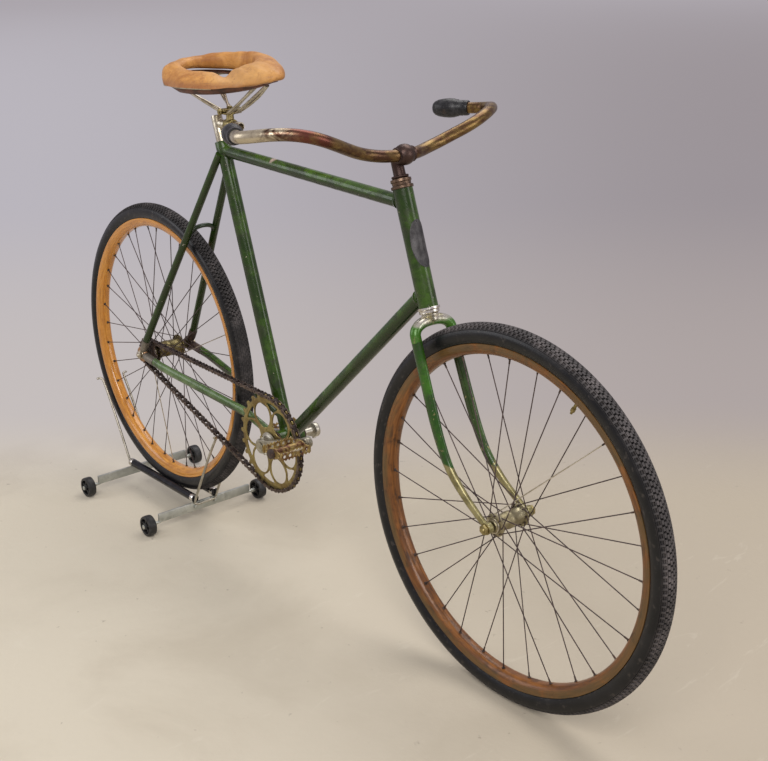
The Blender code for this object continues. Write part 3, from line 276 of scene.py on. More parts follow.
def tyre(tag, centre, dusty):
    middle, section, edge, half = 0.3556 - 0.0205, 0.0205, 0.3217, 0.0160
    wall = [(w, section) for w in (119, 110, 101, 92, 83, 75, 68, 61)]
    tread = [(w, section - TREAD_DEEP) for w in (58, 55.5, 37.5, 35, 32, 21, 18.8, 8, 5.8)]
    one_side = wall + tread
    angles = one_side + [(-w, r) for w, r in reversed(one_side)]
    profile = [(edge, half)] + [(middle + r * math.cos(math.radians(w)), r * math.sin(math.radians(w))) for w, r in angles]
    profile += [(edge, -half), (0.3164, 0.0)]
    bm = bmesh.new()
    steps = PITCHES * 3
    spun(bm, profile, (0, 0, 0), (0, 1, 0), steps, closed=True)
    bmesh.ops.remove_doubles(bm, verts=bm.verts, dist=0.000004)
    raised = []
    for face in bm.faces:
        c = face.calc_center_median()
        out = math.hypot(c.x, c.z) - middle
        w = math.degrees(math.atan2(c.y, out))
        k = int(math.floor(math.atan2(c.z, c.x) / (2 * math.pi) * steps + 0.001)) % 3
        lean = abs(w)
        if lean < 5.8:
            block = k != 0
        elif 8 < lean < 18.8:
            block = k != (1 if w > 0 else 2)
        elif 21 < lean < 32:
            block = k != (2 if w > 0 else 0)
        elif 37.5 < lean < 55.5:
            block = k == 0
        else:
            block = 55.5 < lean < 58 or 35 < lean < 37.5
        if block and out > 0:
            raised.append(face)
    grown = bmesh.ops.extrude_face_region(bm, geom=raised)["geom"]
    for v in grown:
        if isinstance(v, bmesh.types.BMVert):
            round_ = Vector((v.co.x, 0.0, v.co.z)).normalized() * middle
            v.co += (v.co - round_).normalized() * TREAD_DEEP
    bmesh.ops.translate(bm, vec=centre, verts=bm.verts)
    piece(tag + "_tyre_rubber", bm, rubber(tag + "_rubber", centre, dusty), tag + "_wheel", "tyre", tag + "_tyre", crease=35)


tyre("front", FRONT, 1.0)
tyre("rear", REAR, 0.45)

# Rims: steam-bent wood, varnished. The rear one is still bright honey, the front one is
# worn to orange-brown with dark stains; the front has the valve stem through it.
def wood(name, centre, pale, deep, stain, edge_tone, wear):
    mat, place = start(name)
    x, y, z = place.node("ShaderNodeVectorMath", {"operation": "SUBTRACT"}, {0: place, 1: tuple(centre)}).axes()
    across = (x * x + z * z) ** 0.5
    turn = place.node("ShaderNodeCombineXYZ", None, {0: x / across * 5.0, 1: z / across * 5.0, 2: across * 330.0})
    grain = turn.node("ShaderNodeTexNoise", {"noise_dimensions": "4D"}, {"Vector": turn, "W": y * 330.0, "Scale": 1.0, "Detail": 5.0, "Roughness": 0.6, "Distortion": 0.6})
    fine = turn.stretch(3.0, 3.0, 2.2).node("ShaderNodeTexNoise", {"noise_dimensions": "4D"}, {"Vector": turn.stretch(3.0, 3.0, 2.2), "W": y * 900.0, "Scale": 1.0, "Detail": 3.0})
    patch = place.noise(9.0, 5.0, 0.6, 0.5)
    stripe = turn.stretch(1.0, 1.0, 0.30).node("ShaderNodeTexNoise", {"noise_dimensions": "4D"}, {"Vector": turn.stretch(1.0, 1.0, 0.30), "W": y * 90.0, "Scale": 1.0, "Detail": 4.0, "Roughness": 0.6, "Distortion": 1.0})
    blot = (place.noise(30.0, 5.0, 0.68, 0.6) * 0.6 + stripe * 0.4).among(0.570 - wear * 0.12, 0.645)
    rubbed = y.size().among(0.0128, 0.0160) + across.among(0.3140, 0.3200) * 0.6
    base = grain.among(0.35, 0.70).mix(pale, deep)
    base = (stripe.among(0.44, 0.62) * 0.55).mix(base, tuple(c * 0.72 for c in deep))
    base = (patch.among(0.45, 0.70) * 0.45).mix(base, tuple(c * 0.78 for c in deep))
    base = (fine.among(0.55, 0.75) * (0.25 + wear * 0.3)).mix(base, stain)
    base = (blot * (0.12 + wear * 0.85)).mix(base, stain)
    base = ((rubbed * place.noise(16.0, 4.0, 0.6).among(0.36, 0.56)).least(1.0) * (0.15 + wear * 0.8)).mix(base, edge_tone)
    return lay(mat, base, 0.17 + wear * 0.25 + blot * 0.16, height=grain + fine * 0.4 - blot * wear, depth=0.00022 + wear * 0.0003, coat=0.50 - wear * 0.60, coat_rough=0.08, shine=0.35)


def rim(tag, centre, mat):
    edge, half, low = 0.3214, 0.0166, 0.3214 - 0.0216
    profile = [(edge - 0.0059, 0.0), (edge - 0.0008, half - 0.0040), (edge - 0.0003, half - 0.0016), (edge - 0.0010, half), (edge - 0.0056, half)]
    round_ = [(low + (edge - 0.0056 - low) * (1 - math.sin(math.radians(w)) ** 1.15), half * math.cos(math.radians(w)) ** 0.75) for w in range(9, 90, 9)]
    profile += round_ + [(low, 0.0)]
    profile += [(r, -h) for r, h in reversed(profile[1:-1])]
    bm = bmesh.new()
    spun(bm, profile, centre, (0, 1, 0), 160, closed=True)
    piece(tag + "_rim_wood", bm, mat, tag + "_wheel", tag + "_rim_wood", tag + "_rim", crease=50)


rim("front", FRONT, wood("worn_wood", FRONT, (0.250, 0.094, 0.019), (0.118, 0.040, 0.009), (0.020, 0.011, 0.006), (0.082, 0.057, 0.020), 0.62))
rim("rear", REAR, wood("honey_wood", REAR, (0.660, 0.300, 0.052), (0.460, 0.168, 0.022), (0.200, 0.070, 0.014), (0.500, 0.225, 0.050), 0.10))

# Hubs and spokes: turned brass-coloured barrels between two pierced flanges, and thin
# oxidised steel spokes laced three-cross, each with a short threaded nipple in the rim.
def metal(name, bright, dull, spots, rough=0.32, spot_scale=120.0, amount=0.5, depth=0.00012, shine=1.0):
    """Old plated metal: two tones in soft clouds, with spots where the plating is gone."""
    mat, place = start(name)
    cloud = place.noise(spot_scale * 0.28, 5.0, 0.6, 0.3)
    pits = place.noise(spot_scale * 2.2, 5.0, 0.65).among(0.66 - amount * 0.22, 0.74)
    grime = place.noise(spot_scale * 0.9, 4.0, 0.6).among(0.48, 0.72)
    base = (grime * 0.45).mix(cloud.among(0.36, 0.66).mix(bright, dull), spots)
    base = (pits * 0.8).mix(base, spots)
    return lay(mat, base, rough + cloud * 0.22 + pits * 0.25, shine - pits * 0.45 if shine > 0.5 else shine,
               height=place.noise(spot_scale * 3.0, 4.0) + pits * 0.6, depth=depth)


olive_brass = metal("olive_brass", (0.400, 0.330, 0.150), (0.210, 0.165, 0.065), (0.060, 0.040, 0.018), 0.34)
pale_olive = metal("pale_olive", (0.430, 0.385, 0.255), (0.255, 0.218, 0.122), (0.060, 0.044, 0.028), 0.34, 90.0)
dark_olive = metal("dark_olive", (0.240, 0.200, 0.092), (0.118, 0.094, 0.044), (0.036, 0.026, 0.016), 0.32, 90.0)
dark_spoke = metal("oxidised_spoke", (0.095, 0.066, 0.062), (0.052, 0.034, 0.034), (0.024, 0.015, 0.013), 0.42, 160.0, shine=0.55)
old_nickel = metal("old_nickel", (0.620, 0.570, 0.470), (0.420, 0.370, 0.270), (0.130, 0.095, 0.050), 0.22)
dark_steel = metal("dark_steel", (0.085, 0.060, 0.050), (0.040, 0.028, 0.024), (0.120, 0.058, 0.030), 0.45, shine=0.6)


def stick(bm, start_, end, radius, sides=8, tip=None):
    """A straight rod; tip is the radius at its far end."""
    a, b = Vector(start_), Vector(end)
    part = bmesh.new()
    bmesh.ops.create_cone(part, cap_ends=True, segments=sides, radius1=radius, radius2=radius if tip is None else tip, depth=(b - a).length)
    put_in(bm, part, facing((a + b) / 2, b - a))


def spokes(tag, centre, count, flange, right_y, left_y, bright):
    wires, shiny, nipples = bmesh.new(), bmesh.new(), bmesh.new()
    swing = 2 * math.pi / (count // 2) * 3
    for k in range(count):
        a, left, lead = 2 * math.pi * k / count, k % 2, 1 if (k // 2) % 2 else -1
        y = (left_y if left else right_y) + 0.0017 * lead * (1 if left else -1)
        root = Vector(((flange - 0.0035) * math.sin(a + lead * swing), y, (flange - 0.0035) * math.cos(a + lead * swing)))
        end = Vector((0.2998 * math.sin(a), 0.003 if left else -0.003, 0.2998 * math.cos(a)))
        run = (end - root).normalized()
        bm = shiny if k in bright else wires
        stick(bm, centre + root, centre + end, 0.00105, 8)
        stick(bm, centre + root - Vector((0, 0.0026, 0)), centre + root + Vector((0, 0.0026, 0)), 0.0015, 8)
        stick(nipples, centre + end - run * 0.0095, centre + end + run * 0.0008, 0.00155, 8, 0.0019)
        spun(nipples, [(0.0, 0.0), (0.0034, 0.0), (0.0034, 0.0005), (0.0022, 0.0012), (0.0, 0.0012)], centre + Vector((end.x, end.y, end.z)) * 0.9985, -end, 10)
    piece(tag + "_spokes", wires, dark_spoke, tag + "_wheel", "dark_steel")
    piece(tag + "_bright_spokes", shiny, old_nickel, tag + "_wheel", "nickel")
    piece(tag + "_nipples", nipples, dark_steel, tag + "_wheel", "dark_steel")


def hub(tag, centre, right_end, right_y, left_y, left_end, barrel, flange, mat):
    bm = bmesh.new()
    t = 0.0014
    half = [(0.0108, left_end), (0.0116, left_end - 0.0010), (0.0120, left_y + t + 0.0062), (0.0128, left_y + t + 0.0050), (0.0134, left_y + t + 0.0010), (flange - 0.0012, left_y + t), (flange, left_y + t - 0.0006),
            (flange, left_y - t + 0.0006), (flange - 0.0012, left_y - t), (barrel + 0.0022, left_y - t - 0.0004), (barrel + 0.0004, left_y - t - 0.0050), (barrel, left_y - t - 0.0090)]
    other = [(r, right_y + (left_y - h)) for r, h in half[1:]]
    other = [(half[0][0], right_end), (0.0116, right_end + 0.0010)] + other[1:]
    middle = [(barrel, 0.0060), (barrel + 0.0010, 0.0048), (barrel + 0.0010, -0.0048), (barrel, -0.0060)]
    spun(bm, half + middle + list(reversed(other)) + [(0.0052, right_end), (0.0052, left_end)], centre, (0, 1, 0), 48, closed=True)
    piece(tag + "_hub_shell", bm, mat, tag + "_wheel", "worn_brass", tag + "_hub")
    bm = bmesh.new()
    for y in (left_y + t + 0.0036, right_y - t - 0.0036):
        spun(bm, [(0.0121, -0.0022), (0.0142, -0.0018), (0.0148, 0.0), (0.0142, 0.0018), (0.0121, 0.0022)], centre + Vector((0, y, 0)), (0, 1, 0), 40, closed=True)
    piece(tag + "_hub_bands", bm, old_nickel, tag + "_wheel", "nickel")


spokes("front", FRONT, 32, 0.0215, -0.0310, 0.0310, (4,))
spokes("rear", REAR, 36, 0.0275, -0.0315, 0.0345, (7, 18))
hub("front", FRONT, -0.0405, -0.0310, 0.0310, 0.0405, 0.0150, 0.0215, pale_olive)
hub("rear", REAR, -0.0457, -0.0315, 0.0345, 0.0564, 0.0185, 0.0275, dark_olive)

# the valve stem, which stands inwards from the front rim with its knurled cap
bm = bmesh.new()
VALVE_AT = math.radians(60.5)
out = Vector((math.cos(VALVE_AT), 0.0, math.sin(VALVE_AT)))
seat = FRONT + out * 0.3003
spun(bm, [(0.0, -0.0010), (0.0052, -0.0010), (0.0052, 0.0012), (0.0030, 0.0022), (0.0028, 0.0130), (0.0040, 0.0136), (0.0041, 0.0205), (0.0026, 0.0216), (0.0022, 0.0262), (0.0, 0.0266)], seat, -out, 24)
piece("front_valve_stem", bm, olive_brass, "front_wheel", "worn_brass")

# Axles: threaded steel rods with a hexagon nut and a washer outside each fork end.
def nut(bm, centre, axis, across, thick):
    part = bmesh.new()
    bmesh.ops.create_cone(part, cap_ends=True, segments=6, radius1=across, radius2=across, depth=thick)
    bmesh.ops.bevel(part, geom=part.edges[:], offset=across * 0.07, offset_type="OFFSET", segments=2, profile=0.5, affect="EDGES", material=-1)
    put_in(bm, part, facing(centre, axis))


def axle(tag, centre, face, body, mat):
    bm = bmesh.new()
    end = face + 0.0003 + 0.0070 + 0.0034
    ridges = [(0.0046 - 0.0004 * (i % 2), end - 0.0006 * i) for i in range(1, 7)]
    spun(bm, [(0.0, end), (0.0038, end)] + ridges + [(0.0045, 0.0)] + [(r, -h) for r, h in reversed(ridges)] + [(0.0038, -end), (0.0, -end)], centre, (0, 1, 0), 24)
    for sign in (-1, 1):
        y = Vector((0, sign, 0))
        spun(bm, [(0.0046, 0.0), (0.0104, 0.0), (0.0107, 0.0004), (0.0104, 0.0012), (0.0046, 0.0012)], centre + y * (face + 0.0003), y, 32, closed=True)
        nut(bm, centre + y * (face + 0.0014 + 0.0031), y, 0.0095, 0.0058)
    piece(tag + "_axle_and_nuts", bm, mat, body, "worn_brass", tag + "_axle", crease=30)


axle("front", FRONT, 0.0550, "steering", olive_brass)
axle("rear", REAR, 0.0701, "frame", old_nickel)

# The frame: thin-walled steel tubes brazed without outside lugs, under old green enamel
# with painted light on faces that look up and painted shade on those that look down; it is darkened with grime and
# chipped down to pale primer.
HEAD = Vector((-math.cos(math.radians(71.89)), 0.0, math.sin(math.radians(71.89))))
HEAD_LOW = Vector((0.3687, 0.0, 0.7029))
HEAD_TOP = HEAD_LOW + HEAD * 0.2155
BOTTOM = Vector((-0.07848, 0.0, 0.3160))
SEAT_TOP = Vector((-0.27598, 0.0, 0.9330))
SEAT = (SEAT_TOP - BOTTOM).normalized()
Y = Vector((0.0, 1.0, 0.0))


def enamel(name, fresh=(0.054, 0.116, 0.012), deep=(0.017, 0.040, 0.005), fade=None, bare=None, scuff=None):
    """Green stove enamel; fade is a paler tone, bare(x, y, z) a mask of where no paint is
    left, and scuff the place of one pale rub."""
    mat, place = start(name)
    normal = place.node("ShaderNodeNewGeometry", out="Normal")
    nx, ny, nz = normal.axes()
    # painted light and shade: faces that look up get the fresh green, faces that look down a darkened copy of the deep
    # green
    painted_top_light = nz.among(-0.45, 0.60)
    cloud = place.noise(15.0, 6.0, 0.64, 0.5)
    mottle = place.noise(62.0, 5.0, 0.70, 0.8)
    grime = place.noise(40.0, 6.0, 0.68, 0.6).among(0.48, 0.64)
    base = painted_top_light.mix(tuple(c * 0.60 for c in deep), cloud.among(0.40, 0.60).mix(fresh, deep))
    base = (mottle.among(0.50, 0.66) * 0.6).mix(base, tuple(c * 0.75 for c in deep))
    if fade:
        base = (cloud.among(0.32, 0.58) * 0.85).mix(base, fade)
    base = (grime * 0.50).mix(base, (0.020, 0.020, 0.010))
    smear = place.stretch(1.0, 1.0, 0.35).noise(120.0, 5.0, 0.7)
    chips = place.noise(150.0, 4.0, 0.6).among(0.680, 0.705) * place.noise(22.0, 3.0).among(0.48, 0.56)
    scratch = place.stretch(2.2, 2.2, 0.55).noise(210.0, 3.0, 0.5, 1.2).among(0.700, 0.730)
    base = (smear.among(0.62, 0.76) * 0.16).mix(base, (0.100, 0.140, 0.050))
    base = (chips * 0.9).mix(base, (0.380, 0.345, 0.260))
    base = (scratch * 0.45).mix(base, (0.190, 0.210, 0.110))
    rough, metallic = 0.15 + grime * 0.30 + cloud * 0.08, 0.0
    if scuff:
        x, y, z = place.axes()
        near = ((x - scuff[0]) * (x - scuff[0]) + (z - scuff[1]) * (z - scuff[1])) ** 0.5
        rub = (near + place.noise(160.0, 4.0, 0.6) * 0.008).among(0.0120, 0.0070)
        base = (rub * 0.75).mix(base, (0.520, 0.380, 0.330))
    if bare:
        gone = bare(*place.axes(), place)
        raw = place.noise(60.0, 5.0, 0.6).among(0.35, 0.68).mix((0.310, 0.270, 0.125), (0.175, 0.150, 0.062))
        base, rough, metallic = gone.mix(base, raw), rough + gone * 0.12, gone * 0.55
    return lay(mat, base, rough, metallic, height=cloud * 0.5 + place.noise(180.0, 3.0) * 0.15 - chips * 0.8 - grime * 0.15, depth=0.00028, coat=0.28, coat_rough=0.05, shine=0.25)


green = enamel("green_enamel")


def drawn(bm, points, radius, taper=None, detail=7, flat=1.0):
    """A rod bent along points; flat squeezes its section sideways."""
    cu = bpy.data.curves.new("drawn", "CURVE")
    cu.dimensions, cu.bevel_depth, cu.bevel_resolution = "3D", radius, detail
    cu.use_fill_caps, cu.twist_mode = True, "MINIMUM"
    sp = cu.splines.new("POLY")
    sp.points.add(len(points) - 1)
    keel = points[0].y
    for i, p in enumerate(points):
        sp.points[i].co = (p.x, keel + (p.y - keel) / flat, p.z, 1.0)
        sp.points[i].radius = 1.0 if taper is None else taper[i]
    ob = bpy.data.objects.new("drawn", cu)
    bpy.context.scene.collection.objects.link(ob)
    bpy.context.view_layer.update()
    mesh = bpy.data.meshes.new_from_object(ob.evaluated_get(bpy.context.evaluated_depsgraph_get()))
    mesh.transform(Matrix.Translation((0, keel, 0)) @ Matrix.Diagonal((1.0, flat, 1.0, 1.0)) @ Matrix.Translation((0, -keel, 0)))
    bm.from_mesh(mesh)
    bpy.data.meshes.remove(mesh)
    bpy.data.objects.remove(ob)
    bpy.data.curves.remove(cu)


def through(points, steps):
    """More points on a smooth curve through these."""
    pts = [Vector(p) for p in points]
    pts = [pts[0] * 2 - pts[1]] + pts + [pts[-1] * 2 - pts[-2]]
    out = []
    for a, b, c, d in zip(pts, pts[1:], pts[2:], pts[3:]):
        for s in range(steps):
            t = s / steps
            out.append(0.5 * (2 * b + (c - a) * t + (2 * a - 5 * b + 4 * c - d) * t ** 2 + (3 * b - a - 3 * c + d) * t ** 3))
    return out + [pts[-2]]


def flare(bm, at, away, radius, grow=0.0016, length=0.0060):
    """The little brazed fillet where one tube runs into another."""
    spun(bm, [(radius - 0.0010, 0.0), (radius + grow, 0.0), (radius + grow * 0.42, length * 0.35), (radius + 0.0001, length), (radius - 0.0010, length)], at, away, 40, closed=True)


bm = bmesh.new()
spun(bm, [(0.0150, 0.0), (0.0182, 0.0), (0.0182, 0.2155), (0.0150, 0.2155)], HEAD_LOW, HEAD, 56, closed=True)
piece("head_tube_enamel", bm, green, "frame", "green_enamel", "head_tube")
bm = bmesh.new()
stick(bm, BOTTOM, SEAT_TOP, 0.0150, 48)
spun(bm, [(0.0148, -0.0260), (0.0160, -0.0255), (0.0162, -0.0010), (0.0156, 0.0), (0.0121, 0.0), (0.0121, -0.0260)], SEAT_TOP, SEAT, 48, closed=True)
piece("seat_tube_enamel", bm, green, "frame", "green_enamel", "seat_tube")
bm = bmesh.new()
top_a, top_b = SEAT_TOP - SEAT * 0.0190, HEAD_TOP - HEAD * 0.0260
lie = (top_b - top_a).normalized()
stick(bm, top_a, top_b, 0.0127, 48)
flare(bm, top_a + lie * 0.0145, lie, 0.0127)
flare(bm, top_b - lie * 0.0178, -lie, 0.0127)
piece("top_tube_enamel", bm, enamel("scuffed_enamel", scuff=(-0.0860, 0.9160)), "frame", "green_enamel", "top_tube")
bm = bmesh.new()
down_b = HEAD_LOW + HEAD * 0.0260
lie = (down_b - BOTTOM).normalized()
stick(bm, BOTTOM, down_b, 0.0143, 48)
flare(bm, BOTTOM + lie * 0.0208, lie, 0.0143)
flare(bm, down_b - lie * 0.0186, -lie, 0.0143)
piece("down_tube_enamel", bm, green, "frame", "green_enamel", "down_tube")

# the bottom bracket shell, with a screwed bearing cup and its lock ring at each end
bm = bmesh.new()
spun(bm, [(0.0205, -0.0300), (0.0213, -0.0294), (0.0215, -0.0280), (0.0215, 0.0280), (0.0213, 0.0294), (0.0205, 0.0300), (0.0165, 0.0300), (0.0165, -0.0300)], BOTTOM, Y, 56, closed=True)
flare(bm, BOTTOM + SEAT * 0.0190, SEAT, 0.0150)
piece("bottom_bracket_enamel", bm, green, "frame", "green_enamel", "bottom_bracket")
bm = bmesh.new()
for sign in (-1, 1):
    spun(bm, [(0.0084, 0.0355), (0.0150, 0.0358), (0.0166, 0.0350), (0.0168, 0.0338), (0.0198, 0.0336), (0.0202, 0.0330), (0.0202, 0.0302), (0.0084, 0.0296)], BOTTOM, Y * sign, 48, closed=True)
    for k in range(6):
        a = k * math.pi / 3
        stick(bm, BOTTOM + Vector((0.0128 * math.cos(a), sign * 0.0345, 0.0128 * math.sin(a))), BOTTOM + Vector((0.0128 * math.cos(a), sign * 0.0362, 0.0128 * math.sin(a))), 0.0012, 10)
piece("bracket_cups", bm, dark_steel, "frame", "dark_steel")

# Rear stays and fork ends: round seat stays and flattened chain stays, brazed into the
# sockets of stamped fork ends. The right chain stay is faded and its socket rubbed bare.
faded = enamel("faded_enamel", (0.088, 0.155, 0.048), (0.036, 0.072, 0.020), fade=(0.135, 0.205, 0.082))
copper = metal("copper_end", (0.470, 0.290, 0.165), (0.330, 0.190, 0.100), (0.090, 0.050, 0.030), 0.36)
socket_metal = metal("bare_socket", (0.230, 0.205, 0.170), (0.120, 0.105, 0.085), (0.055, 0.042, 0.030), 0.45, shine=0.7)
for sign, tag in ((-1, "right"), (1, "left")):
    drop = REAR + Y * sign * 0.0655
    stay_top = SEAT_TOP - SEAT * 0.0270 + Y * sign * 0.0150
    knee = BOTTOM + Vector((-0.1110, sign * 0.0330, 0.0350))
    rise = Vector((stay_top.x - drop.x, 0.0, stay_top.z - drop.z)).normalized()
    fore = Vector((knee.x - drop.x, 0.0, knee.z - drop.z)).normalized()
    bm = bmesh.new()
    out = Y * sign
    spun(bm, [(0.0048, -0.0046), (0.0176, -0.0046), (0.0185, -0.0036), (0.0185, 0.0026), (0.0176, 0.0040), (0.0160, 0.0046), (0.0048, 0.0046)], drop, out, 48, closed=True)
    spun(bm, [(0.0112, 0.0040), (0.0152, 0.0044), (0.0158, 0.0047), (0.0112, 0.0047)], drop, out, 48, closed=True)
    piece("fork_end_disc_" + tag, bm, copper if sign < 0 else dark_steel, "frame", "worn_brass" if sign < 0 else "dark_steel", "fork_end_" + tag)
    bm = bmesh.new()
    for way, length in ((rise, 0.0460), (fore, 0.0560)):
        spun(bm, [(0.0, 0.0110), (0.0078, 0.0120), (0.0092, 0.0165), (0.0100, 0.0220), (0.0100, length - 0.0030), (0.0094, length), (0.0, length)], drop, way, 32)
    piece("stay_sockets_" + tag, bm, socket_metal if sign < 0 else dark_steel, "frame", "worn_brass" if sign < 0 else "dark_steel")
    bm = bmesh.new()
    foot = drop + rise * 0.0465
    stick(bm, foot, stay_top + (stay_top - foot).normalized() * 0.002, 0.0088, 32, 0.0080)
    piece("seat_stay_enamel_" + tag, bm, green, "frame", "green_enamel", "seat_stay_" + tag)
    begin = drop + fore * 0.0564
    route = [begin, begin + fore * 0.030] + through([begin + fore * 0.080 - Y * sign * 0.0050, knee - fore * 0.060 + Y * sign * 0.0060, knee,
            knee.lerp(BOTTOM + Y * sign * 0.0240, 0.45) + Vector((0.0, sign * 0.0015, 0.0025)), BOTTOM + Y * sign * 0.0240], 6)
    bm = bmesh.new()
    drawn(bm, route, 0.0106, flat=0.74)
    piece("chain_stay_enamel_" + tag, bm, faded if sign < 0 else green, "frame", "green_enamel", "chain_stay_" + tag)
seat_join = SEAT_TOP - SEAT * 0.0270
outward = (seat_join - REAR).normalized()
high = REAR + outward * (0.3556 + 0.0220)
share = (0.3556 + 0.0220 - 0.0460) / ((seat_join - REAR).length - 0.0460)
reach = 0.0655 + (0.0150 - 0.0655) * share
arch = [high - Y * reach] + [high + Y * (-(reach - 0.006) * math.cos(math.pi * i / 16)) + outward * (0.0160 * math.sin(math.pi * i / 16)) for i in range(17)] + [high + Y * reach]
bm = bmesh.new()
drawn(bm, arch, 0.0050)
piece("stay_bridge_enamel", bm, enamel("grimy_enamel", (0.030, 0.062, 0.026), (0.012, 0.026, 0.010)), "frame", "green_enamel", "stay_bridge")

# Headset: turned cups and locknut. The lower cup keeps its nickel, the upper one has
# gone bronze. The head badge is an oval stamped plate, left bare, pinned to the tube.
bronze = metal("bronze_brown", (0.180, 0.120, 0.082), (0.070, 0.042, 0.030), (0.026, 0.016, 0.012), 0.22, 90.0, shine=0.90)
pale_nickel = metal("pale_nickel", (0.780, 0.755, 0.710), (0.590, 0.550, 0.480), (0.220, 0.180, 0.120), 0.14, amount=0.2, depth=0.00005)
bm = bmesh.new()
spun(bm, [(0.0, -0.0002), (0.0200, -0.0002), (0.0207, -0.0008), (0.0208, -0.0040), (0.0202, -0.0048), (0.0186, -0.0058), (0.0185, -0.0090), (0.0190, -0.0098), (0.0188, -0.0106), (0.0160, -0.0124), (0.0, -0.0124)], HEAD_LOW, HEAD, 56)
piece("lower_cup", bm, pale_nickel, "frame", "nickel", "headset_lower", crease=30)
bm = bmesh.new()
spun(bm, [(0.0, 0.0190), (0.0148, 0.0190), (0.0160, 0.0184), (0.0190, 0.0176), (0.0192, 0.0130), (0.0186, 0.0122), (0.0176, 0.0116), (0.0172, 0.0070), (0.0178, 0.0062), (0.0200, 0.0056), (0.0206, 0.0048), (0.0205, 0.0010), (0.0198, 0.0003), (0.0, 0.0003)], HEAD_TOP, HEAD, 56)
piece("upper_cup", bm, bronze, "frame", "nickel", "headset_upper", crease=30)
bm = bmesh.new()
badge = bmesh.new()
bmesh.ops.create_circle(badge, cap_ends=True, segments=56, radius=1.0)
bmesh.ops.triangulate(badge, faces=badge.faces[:])
bmesh.ops.subdivide_edges(badge, edges=[e for e in badge.edges if not e.is_boundary], cuts=6, use_grid_fill=True)
for v in badge.verts:
    # the outer ring and a plain inner oval stand a little proud of the field
    away = math.hypot(v.co.x, v.co.y)
    lift = 0.0006 * (1.0 if away > 0.90 else 0.0) + 0.0007 * max(0.0, 1 - (away / 0.55) ** 2)
    turn, up_ = v.co.x * math.radians(62), v.co.y * 0.0435
    r = 0.0189 + lift
    v.co = (r * math.cos(turn), r * math.sin(turn), up_)
rim_of = [e for e in badge.edges if e.is_boundary]
skirt = [g for g in bmesh.ops.extrude_edge_only(badge, edges=rim_of)["geom"] if isinstance(g, bmesh.types.BMVert)]
for v in skirt:
    v.co.x, v.co.y = v.co.x * 0.958, v.co.y * 0.958
for up_ in (-0.0395, 0.0395):
    stick(badge, (0.0188, 0.0, up_), (0.0202, 0.0, up_), 0.0016, 12)
tilt = Matrix((Vector((math.sin(math.radians(71.89)), 0, math.cos(math.radians(71.89)))), Y, HEAD)).transposed().to_4x4()
put_in(bm, badge, Matrix.Translation(HEAD_LOW + HEAD * 0.1140) @ tilt)
piece("bare_head_badge", bm, metal("badge_lead", (0.090, 0.086, 0.088), (0.046, 0.044, 0.047), (0.020, 0.018, 0.018), 0.38, 150.0, shine=0.7), "frame", "dark_steel")

# Fork: a horseshoe crown over the tyre and two flattened blades that sweep forward to
# the axle. The paint ends two thirds down; below it the metal is bare and olive.
AHEAD = Vector((math.sin(math.radians(71.89)), 0.0, math.cos(math.radians(71.89))))
span = FRONT - HEAD_LOW
along = span.dot(-HEAD)
rake = (span + HEAD * along).length


def on_fork(down, fore, y):
    return HEAD_LOW - HEAD * down + AHEAD * fore + Y * y


def paint_end(x, y, z, place):
    low = (z + place.noise(70.0, 3.0) * 0.010 + y * 0.21).among(0.4380, 0.4345)
    return low.most(place.noise(95.0, 4.0, 0.6).among(0.625, 0.65) * z.among(0.62, 0.50) * 0.9)


fork_green = enamel("fork_enamel", (0.050, 0.158, 0.012), (0.020, 0.070, 0.007), bare=paint_end)
for sign, tag in ((-1, "right"), (1, "left")):
    tip = FRONT + Y * sign * 0.0500
    far = along - 0.0560
    route = [on_fork(0.0560, 0.0, sign * 0.0440)] + through([on_fork(0.0560 + 0.02, 0.0, sign * 0.0440)] + [on_fork(0.0560 + far * d, rake * a, sign * (0.0440 + 0.0060 * d))
            for d, a in ((0.20, 0.02), (0.36, 0.045), (0.52, 0.09), (0.68, 0.21), (0.82, 0.48), (0.93, 0.78))] + [tip], 6)
    n = len(route)
    taper = [1.0 - (1.0 - 0.0062 / 0.0112) * max(0.0, (i / (n - 1) - 0.35) / 0.65) for i in range(n)]
    bm = bmesh.new()
    paint = fork_green if sign < 0 else enamel("dull_fork_enamel", (0.058, 0.108, 0.028), (0.028, 0.056, 0.014), bare=paint_end)
    drawn(bm, route, 0.0112, taper, flat=0.76)
    out = Y * sign
    spun(bm, [(0.0049, -0.0050), (0.0098, -0.0050), (0.0105, -0.0042), (0.0105, 0.0042), (0.0098, 0.0050), (0.0049, 0.0050)], tip, out, 40, closed=True)
    piece("fork_blade_enamel_" + tag, bm, paint, "steering", "green_enamel", "fork_blade_" + tag)
cup_low = HEAD_LOW - HEAD * 0.0125
crown_mid = cup_low - HEAD * (0.0005 + 0.0098 + 0.0008)
deep = (HEAD_LOW - crown_mid).length
side = [on_fork(0.0575, 0.0, 0.0440), on_fork(0.0500, 0.0, 0.0440)]
for i in range(12):
    w = math.radians(90) * i / 12
    side.append(on_fork(0.0460 - (0.0460 - deep) * math.sin(w), 0.0, 0.0440 * math.cos(w) ** 0.8))
side.append(on_fork(deep, 0.0, 0.0))
route = [Vector((p.x, -p.y, p.z)) for p in side] + side[-2::-1]
bm = bmesh.new()
drawn(bm, route, 0.0098, [1.0 + 0.06 * math.sin(math.pi * i / (len(route) - 1)) for i in range(len(route))])
spun(bm, [(0.0, -0.0005), (0.0150, -0.0005), (0.0158, -0.0012), (0.0158, -0.0034), (0.0150, -0.0044), (0.0146, -0.0085), (0.0140, -0.0120), (0.0100, -0.0150), (0.0, -0.0150)], cup_low, HEAD, 48)
crown_mat, place = start("crown_nickel")
low = place.axes()[2] + place.noise(60.0, 3.0) * 0.016
worn = place.noise(44.0, 5.0, 0.6)
shoulder = low.among(0.6920, 0.6820)
base = worn.among(0.44, 0.66).mix((0.680, 0.645, 0.560), (0.330, 0.300, 0.180))
